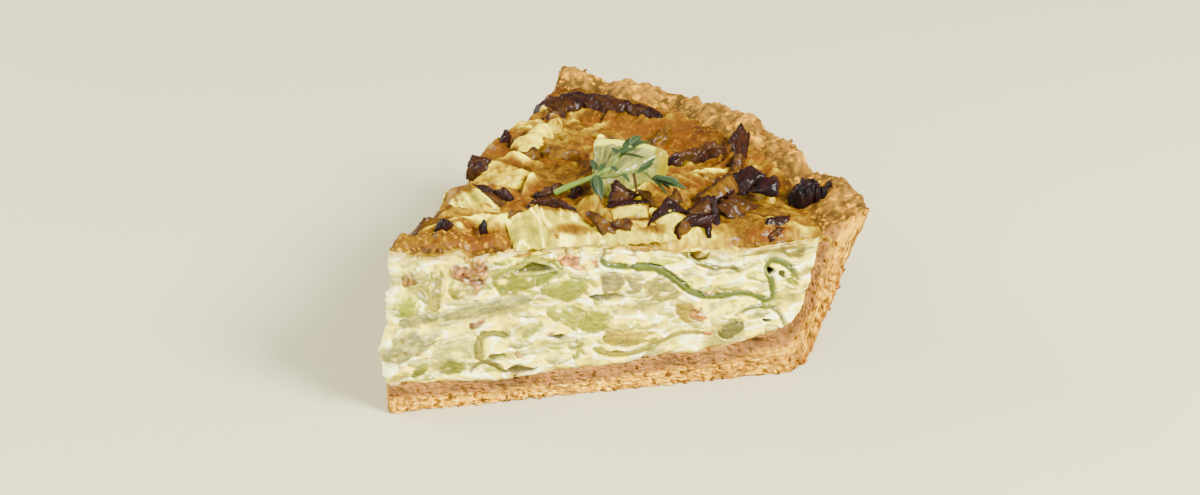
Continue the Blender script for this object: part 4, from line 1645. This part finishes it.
def run_nodes(host: Object, tree: NodeTree, values: dict) -> Mesh:
    """Runs a geometry tree on an object and takes the result as a plain mesh.

    Args:
        host: the object that the tree starts from.
        tree: the node tree.
        values: the tree's inputs by name.

    Returns:
        The finished mesh. The modifier is gone from the host.
    """
    step = host.modifiers.new("build", "NODES")
    step.node_group = tree
    for socket in tree.interface.items_tree:
        if socket.item_type == "SOCKET" and socket.in_out == "INPUT" and socket.name in values:
            step[socket.identifier] = values[socket.name]
    graph = bpy.context.evaluated_depsgraph_get()
    mesh = bpy.data.meshes.new_from_object(
        host.evaluated_get(graph), preserve_all_data_layers=True, depsgraph=graph)
    host.modifiers.clear()
    return mesh


def new_tree(name: str, sockets: dict[str, tuple]) -> NodeTree:
    """A geometry tree with a geometry input and output and the named inputs.

    Args:
        name: the tree's name.
        sockets: for each input, its socket type and its default, or None.

    Returns:
        The tree.
    """
    tree = bpy.data.node_groups.new(name, "GeometryNodeTree")
    tree.interface.new_socket("Geometry", in_out="INPUT", socket_type="NodeSocketGeometry")
    tree.interface.new_socket("Geometry", in_out="OUTPUT", socket_type="NodeSocketGeometry")
    for label, (kind, default) in sockets.items():
        socket = tree.interface.new_socket(label, in_out="INPUT", socket_type=kind)
        if default is not None:
            socket.default_value = default
    return tree


def end_tree(tree: NodeTree, made: NodeSocket, finish: NodeSocket) -> None:
    """Ends a tree: its instances made real and dressed in the finish."""
    real = grow(tree, "GeometryNodeRealizeInstances", {"Geometry": made})
    dress = grow(tree, "GeometryNodeSetMaterial", {"Geometry": real.outputs["Geometry"], "Material": finish})
    grow(tree, "NodeGroupOutput", {"Geometry": dress.outputs["Geometry"]})


@dataclass
class ThymeSprig:
    """A sprig of thyme across the lemon: a woody stem, two side stems and folded leaves.

    A stem is its line, its first and last radius and its colour. A leaf is its foot, its tip, its width
    and its roll, in one row.
    """

    stems: tuple = (
        (((39.7, 14.6, 42.4), (43.3, 14.0, 44.2), (46.8, 13.7, 45.4), (49.6, 14.4, 46.2), (52.4, 15.8, 47.0),
          (54.2, 17.3, 48.2), (56.1, 19.0, 48.8), (58.5, 20.6, 49.0)), 0.66, 0.34, (176, 184, 122)),
        (((47.6, 13.8, 45.6), (50.4, 11.4, 46.8), (53.4, 9.9, 47.8), (56.9, 9.6, 48.3), (58.8, 10.4, 47.5),
          (59.7, 8.4, 46.9)), 0.40, 0.32, (170, 172, 116)),
        (((56.0, 10.1, 48.2), (56.4, 9.7, 46.0), (56.7, 9.4, 43.6)), 0.34, 0.28, (142, 96, 62)),
    )
    leaves: tuple = (
        (58.2, 19.4, 49.4, 62.3, 22.4, 49.8, 2.6, 0), (57.1, 20.6, 49.5, 60.5, 24, 50.1, 2.2, 0.5),
        (54.5, 17, 49, 59.3, 14.5, 49, 2.1, 0), (55.8, 19, 49.1, 58.1, 23.2, 50, 1.6, 0),
        (53.8, 17.4, 49, 53.9, 21.4, 49.5, 1.5, 0), (54.3, 18.2, 49.1, 58.3, 18.4, 49.5, 1.8, 0.4),
        (56.7, 7.9, 48.6, 61.9, 14, 49.9, 1.5, 0), (57, 9.4, 48.6, 61, 11.8, 49.3, 1.6, 0.6),
        (59.9, 8.9, 47, 64.8, 6, 46.7, 2.2, 0), (60, 8.2, 46.6, 65.6, 7.8, 46.8, 2, 0.6),
        (59.4, 9.4, 46.8, 62.6, 4.6, 44.9, 2.1, -0.5), (60.8, 10, 46.4, 63.4, 6.9, 45.1, 1.9, 0),
        (48.4, 12.8, 46.8, 48.9, 7.9, 43.5, 2.2, 0), (48, 12.6, 46.6, 47.7, 8.9, 43.9, 1.7, 0.7),
        (48.4, 13.8, 47.2, 48.7, 18.6, 48.4, 1.8, 0), (48.9, 13.4, 47.2, 51.4, 16.2, 48, 1.2, 0.4),
        (52.6, 10.4, 48.3, 51.6, 13.4, 48.6, 1.1, 0), (53.4, 9.4, 48.2, 54.8, 7, 47.3, 1.1, 0),
        (61.6, 8.4, 46.4, 66.4, 5, 45.2, 1.8, 0.3))
    seed: int = 5
    noise: Noise = Noise(61)

    def leaf(self) -> Object:
        """One leaf of length 1 along X, folded along its rib and curled at the edge."""
        shape = Shape()
        rows, ring = 11, 12
        along = np.linspace(0, 1, rows)[:, None]
        turn = np.linspace(0, 2 * np.pi, ring, endpoint=False)[None, :]
        half = 0.5 * np.sin(np.pi * along**0.8) ** 0.75 * (1 - 0.25 * along) + 0.02
        across = np.cos(turn) * half
        fold = 0.85 * np.abs(across) - 0.9 * np.abs(across) ** 2
        lift = 0.035 * np.sin(turn) + fold - 0.10 * along**2 + 0.05 * np.sin(along * 5)
        points = spots(along + 0 * turn, across, lift)
        rib = np.exp(-((across / 0.07) ** 2))
        shape.tube(points / MM, coats(
            (72, 100, 68), ((112, 134, 94), np.clip(rib + 0.4 * (np.abs(across) > half * 0.8), 0, 1)),
            ((120, 132, 100), np.where(np.sin(turn) > 0, 0.0, 0.7))))
        made = shape.finish("leaf", THYME.build())
        for vertex in made.data.vertices:
            vertex.co += Vector(FORM.middle) * MM
        return made

    def tree(self) -> NodeTree:
        """The tree that sets a leaf on each point, turned and sized by the point's own values."""
        tree = new_tree("leaves_on_points", {
            "Leaf": ("NodeSocketObject", None), "Finish": ("NodeSocketMaterial", None),
            "Seed": ("NodeSocketInt", 5)})
        given = grow(tree, "NodeGroupInput").outputs
        aim, size = (grow(tree, "GeometryNodeInputNamedAttribute", {"Name": label}, data_type="FLOAT_VECTOR")
                     .outputs["Attribute"] for label in ("aim", "size"))
        leaf = grow(tree, "GeometryNodeObjectInfo", {"Object": given["Leaf"]})
        put = grow(tree, "GeometryNodeInstanceOnPoints", {
            "Instance": leaf.outputs["Geometry"], "Points": given["Geometry"], "Rotation": aim,
            "Scale": size})
        tilt = grow(tree, "FunctionNodeRandomValue", {
            0: (-0.35, -0.1, -0.06), 1: (0.35, 0.1, 0.06), "Seed": given["Seed"]}, data_type="FLOAT_VECTOR")
        turn = grow(tree, "GeometryNodeRotateInstances", {
            "Instances": put.outputs["Instances"], "Rotation": tilt.outputs["Value"]})
        end_tree(tree, turn.outputs["Instances"], given["Finish"])
        return tree

    def add_stem(self, shape: Shape, stem: tuple, number: int) -> None:
        """Adds one stem, a knobbly tube along a smooth line."""
        points, first, last, colour = stem
        line = rounded_path(points, False, 14)
        way = np.gradient(line, axis=0)
        way /= np.linalg.norm(way, axis=1)[:, None]
        side = np.cross(way, [0.0, 0.0, 1.0])
        side /= np.linalg.norm(side, axis=1)[:, None]
        rise = np.cross(side, way)
        turn = np.linspace(0, 2 * np.pi, 12, endpoint=False)[None, :, None]
        radius = np.linspace(first, last, len(line))[:, None, None]
        ring = np.cos(turn) * side[:, None] + np.sin(turn) * rise[:, None]
        spot = line[:, None] + ring * radius
        swell = 0.16 * self.noise(spot, 1.6, 3)[..., None]
        spot = line[:, None] + ring * radius * (1 + swell + 0.12 * (np.sin(turn * 4) ** 2))
        streak = self.noise(spots(np.arange(len(line))[:, None] / 9, turn[..., 0] * 1.5, number), 1, 3)
        shape.tube(spot, coats(colour, ((132, 116, 74), ease(0.1, 0.8, streak))))

    def build(self) -> list[Object]:
        """Builds the stems as one piece and the leaves as another."""
        shape = Shape()
        for number, stem in enumerate(self.stems):
            self.add_stem(shape, stem, number)
        stems = settle(shape.finish("thyme_stems", THYME.build()), "lemon")
        pattern = self.leaf()
        feet = bpy.data.meshes.new("leaf_feet")
        feet.from_pydata(FORM.world(np.array(self.leaves)[:, :3]).tolist(), [], [])
        aims, sizes = [], []
        for *ends, width, roll in self.leaves:
            way = Vector(ends[3:]) - Vector(ends[:3])
            aims.append((roll, -math.atan2(way.z, math.hypot(way.x, way.y)), math.atan2(way.y, way.x)))
            sizes.append((way.length * MM, width * MM, width * MM))
        for label, rows in (("aim", aims), ("size", sizes)):
            values = feet.attributes.new(label, "FLOAT_VECTOR", "POINT")
            values.data.foreach_set("vector", np.array(rows, np.float32).ravel())
        host = placed("thyme_leaves", feet)
        host.data = run_nodes(host, self.tree(), {
            "Leaf": pattern, "Finish": pattern.data.materials[0], "Seed": self.seed})
        bpy.data.objects.remove(pattern)
        return [stems, settle(host, "lemon")]


# ---------------------------------------------------------------- crumbs


@dataclass
class Crumbs:
    """Loose flakes of pastry that cling to the cuts and the rim."""

    per_mm2: float = 0.22
    seed: int = 9
    smallest: float = 0.35
    largest: float = 1.15

    def flake(self) -> Object:
        """One small uneven flake of size 1."""
        made = bmesh.new()
        bmesh.ops.create_icosphere(made, subdivisions=1, radius=0.55)
        noise = Noise(77)
        places = np.array([vertex.co for vertex in made.verts])
        push = 1 + 0.35 * noise(places, 0.5, 2)
        for vertex, share in zip(made.verts, push):
            vertex.co = Vector((vertex.co.x * 1.25, vertex.co.y, vertex.co.z * 0.5)) * share
        mesh = bpy.data.meshes.new("flake")
        made.to_mesh(mesh)
        made.free()
        mesh.shade_smooth()
        return placed("flake", mesh)

    def tree(self) -> NodeTree:
        """The tree that strews flakes over the faces, thickest where the value `loose` is high."""
        tree = new_tree("strewn_flakes", {
            "Flake": ("NodeSocketObject", None), "Density": ("NodeSocketFloat", 1.0),
            "Seed": ("NodeSocketInt", 0), "Smallest": ("NodeSocketFloat", 0.001),
            "Largest": ("NodeSocketFloat", 0.002), "Finish": ("NodeSocketMaterial", None)})
        given = grow(tree, "NodeGroupInput").outputs
        loose = grow(tree, "GeometryNodeInputNamedAttribute", {"Name": "loose"}, data_type="FLOAT")
        much = grow(tree, "ShaderNodeMath", {
            0: loose.outputs["Attribute"], 1: given["Density"]}, operation="MULTIPLY")
        strew = grow(tree, "GeometryNodeDistributePointsOnFaces", {
            "Mesh": given["Geometry"], "Density": much.outputs["Value"], "Seed": given["Seed"]})
        turn = grow(tree, "FunctionNodeRandomValue", {1: (6.28, 6.28, 6.28)}, data_type="FLOAT_VECTOR")
        size = grow(tree, "FunctionNodeRandomValue", {2: given["Smallest"], 3: given["Largest"]})
        pattern = grow(tree, "GeometryNodeObjectInfo", {"Object": given["Flake"]})
        put = grow(tree, "GeometryNodeInstanceOnPoints", {
            "Points": strew.outputs["Points"], "Instance": pattern.outputs["Geometry"],
            "Rotation": turn.outputs[0], "Scale": size.outputs[1]})
        shade = grow(tree, "FunctionNodeRandomValue")
        ramp = grow(tree, "ShaderNodeMix", {
            "A": (*paint(232, 192, 132), 1), "B": (*paint(176, 116, 62), 1),
            "Factor": shade.outputs[1]}, data_type="RGBA")
        store = grow(tree, "GeometryNodeStoreNamedAttribute", {
            "Name": "tint", "Geometry": put.outputs["Instances"], "Value": ramp.outputs["Result"]},
            data_type="FLOAT_COLOR", domain="INSTANCE")
        end_tree(tree, store.outputs["Geometry"], given["Finish"])
        return tree

    def build(self, case: Object) -> Object:
        """Strews the flakes over the finished pastry."""
        mesh = case.data.copy()
        count = len(mesh.vertices)
        places, normals = np.empty(count * 3), np.empty(count * 3)
        mesh.vertices.foreach_get("co", places)
        mesh.vertices.foreach_get("normal", normals)
        places = places.reshape(-1, 3) / MM + FORM.middle
        x, y, z = places.T
        from_cut = np.minimum(y, FORM.from_back(x, y))
        outside = ease(6.5, 3, z) + ease(28, 34, np.hypot(x, y) - 60)
        rim = 0.25 * ease(30, 37, z) * ease(0.2, 0.6, normals[2::3])
        patch = 0.25 + 0.75 * ease(-0.3, 0.5, Noise(3)(places, 6, 2))
        cut = ease(1.6, 0.9, from_cut) * ease(0.3, 0.9, z) * np.clip(0.35 + 0.65 * outside, 0, 1) * patch
        foot = 1.6 * ease(1.8, 0.9, from_cut) * ease(1.6, 0.4, z) * ease(0.02, 0.2, z)
        loose = np.maximum(cut, rim) + foot
        value = mesh.attributes.new("loose", "FLOAT", "POINT")
        value.data.foreach_set("value", loose.astype(np.float32))
        host = placed("pastry_flakes", mesh)
        pattern = self.flake()
        host.data = run_nodes(host, self.tree(), {
            "Flake": pattern, "Density": self.per_mm2 / MM**2, "Seed": self.seed,
            "Smallest": self.smallest * MM, "Largest": self.largest * MM, "Finish": PASTRY_CRUMB.build()})
        bpy.data.objects.remove(pattern)
        return settle(host, "pastry")


# ---------------------------------------------------------------- the studio


@dataclass
class Studio:
    """A pale floor, soft light and the camera."""

    camera_at: tuple[float, float, float] = (-0.0655, -0.3554, 0.2013)
    looks: tuple[float, float] = (0.188, 0.982)
    down: float = math.radians(27.6)
    lens: float = 50.85
    floor_size: float = 3.0

    def floor(self) -> None:
        """Lays the floor."""
        mesh = bpy.data.meshes.new("floor")
        half = self.floor_size / 2
        corners = [(x * half, y * half, 0) for x, y in ((-1, -1), (1, -1), (1, 1), (-1, 1))]
        mesh.from_pydata(corners, [], [(0, 1, 2, 3)])
        made = bpy.data.materials.new("floor")
        made.use_nodes = True
        shader = made.node_tree.nodes["Principled BSDF"]
        shader.inputs["Base Color"].default_value = (*paint(225, 222, 213), 1)
        shader.inputs["Roughness"].default_value = 0.55
        mesh.materials.append(made)
        placed("floor", mesh)

    def lamp(self, name: str, at: tuple, size: float, power: float, tone: tuple) -> None:
        """Hangs one soft lamp that faces the slice."""
        data = bpy.data.lights.new(name, "AREA")
        data.shape = "DISK"
        data.size = size
        data.energy = power
        data.color = tone
        lamp = placed(name, data)
        lamp.location = at
        lamp.rotation_euler = (Vector((0, 0, 0.03)) - Vector(at)).to_track_quat("-Z", "Y").to_euler()

    def build(self) -> None:
        """Sets floor, light and camera."""
        self.floor()
        self.lamp("window", (0.60, -0.55, 0.65), 0.45, 58.0, (1.0, 0.99, 0.97))
        self.lamp("front_fill", (-0.5, -0.8, 0.45), 0.8, 20.0, (1.0, 0.99, 0.98))
        self.lamp("back_fill", (-0.85, 0.5, 0.4), 0.8, 30.0, (1.0, 0.985, 0.96))
        world = bpy.data.worlds.new("room")
        world.use_nodes = True
        back = world.node_tree.nodes["Background"]
        back.inputs["Color"].default_value = (1.0, 0.985, 0.965, 1)
        back.inputs["Strength"].default_value = 0.7
        bpy.context.scene.world = world
        data = bpy.data.cameras.new("camera")
        data.lens = self.lens
        data.sensor_width = 36.0
        data.clip_start = 0.01
        camera = placed("camera", data)
        camera.location = self.camera_at
        way = Vector((*(part * math.cos(self.down) for part in self.looks), -math.sin(self.down)))
        camera.rotation_euler = way.to_track_quat("-Z", "Y").to_euler()
        bpy.context.scene.camera = camera


def main() -> None:
    """Builds every piece in turn and sets the studio."""
    logging.basicConfig(level=logging.INFO, format="%(name)s %(message)s")
    case = PastryCase()
    pastry = case.build()
    Filling().build(case)
    BrownedTop().build()
    RoastedPetals().build()
    LemonPiece().build()
    ThymeSprig().build()
    Crumbs().build(pastry)
    Studio().build()


if __name__ == "__main__":
    main()
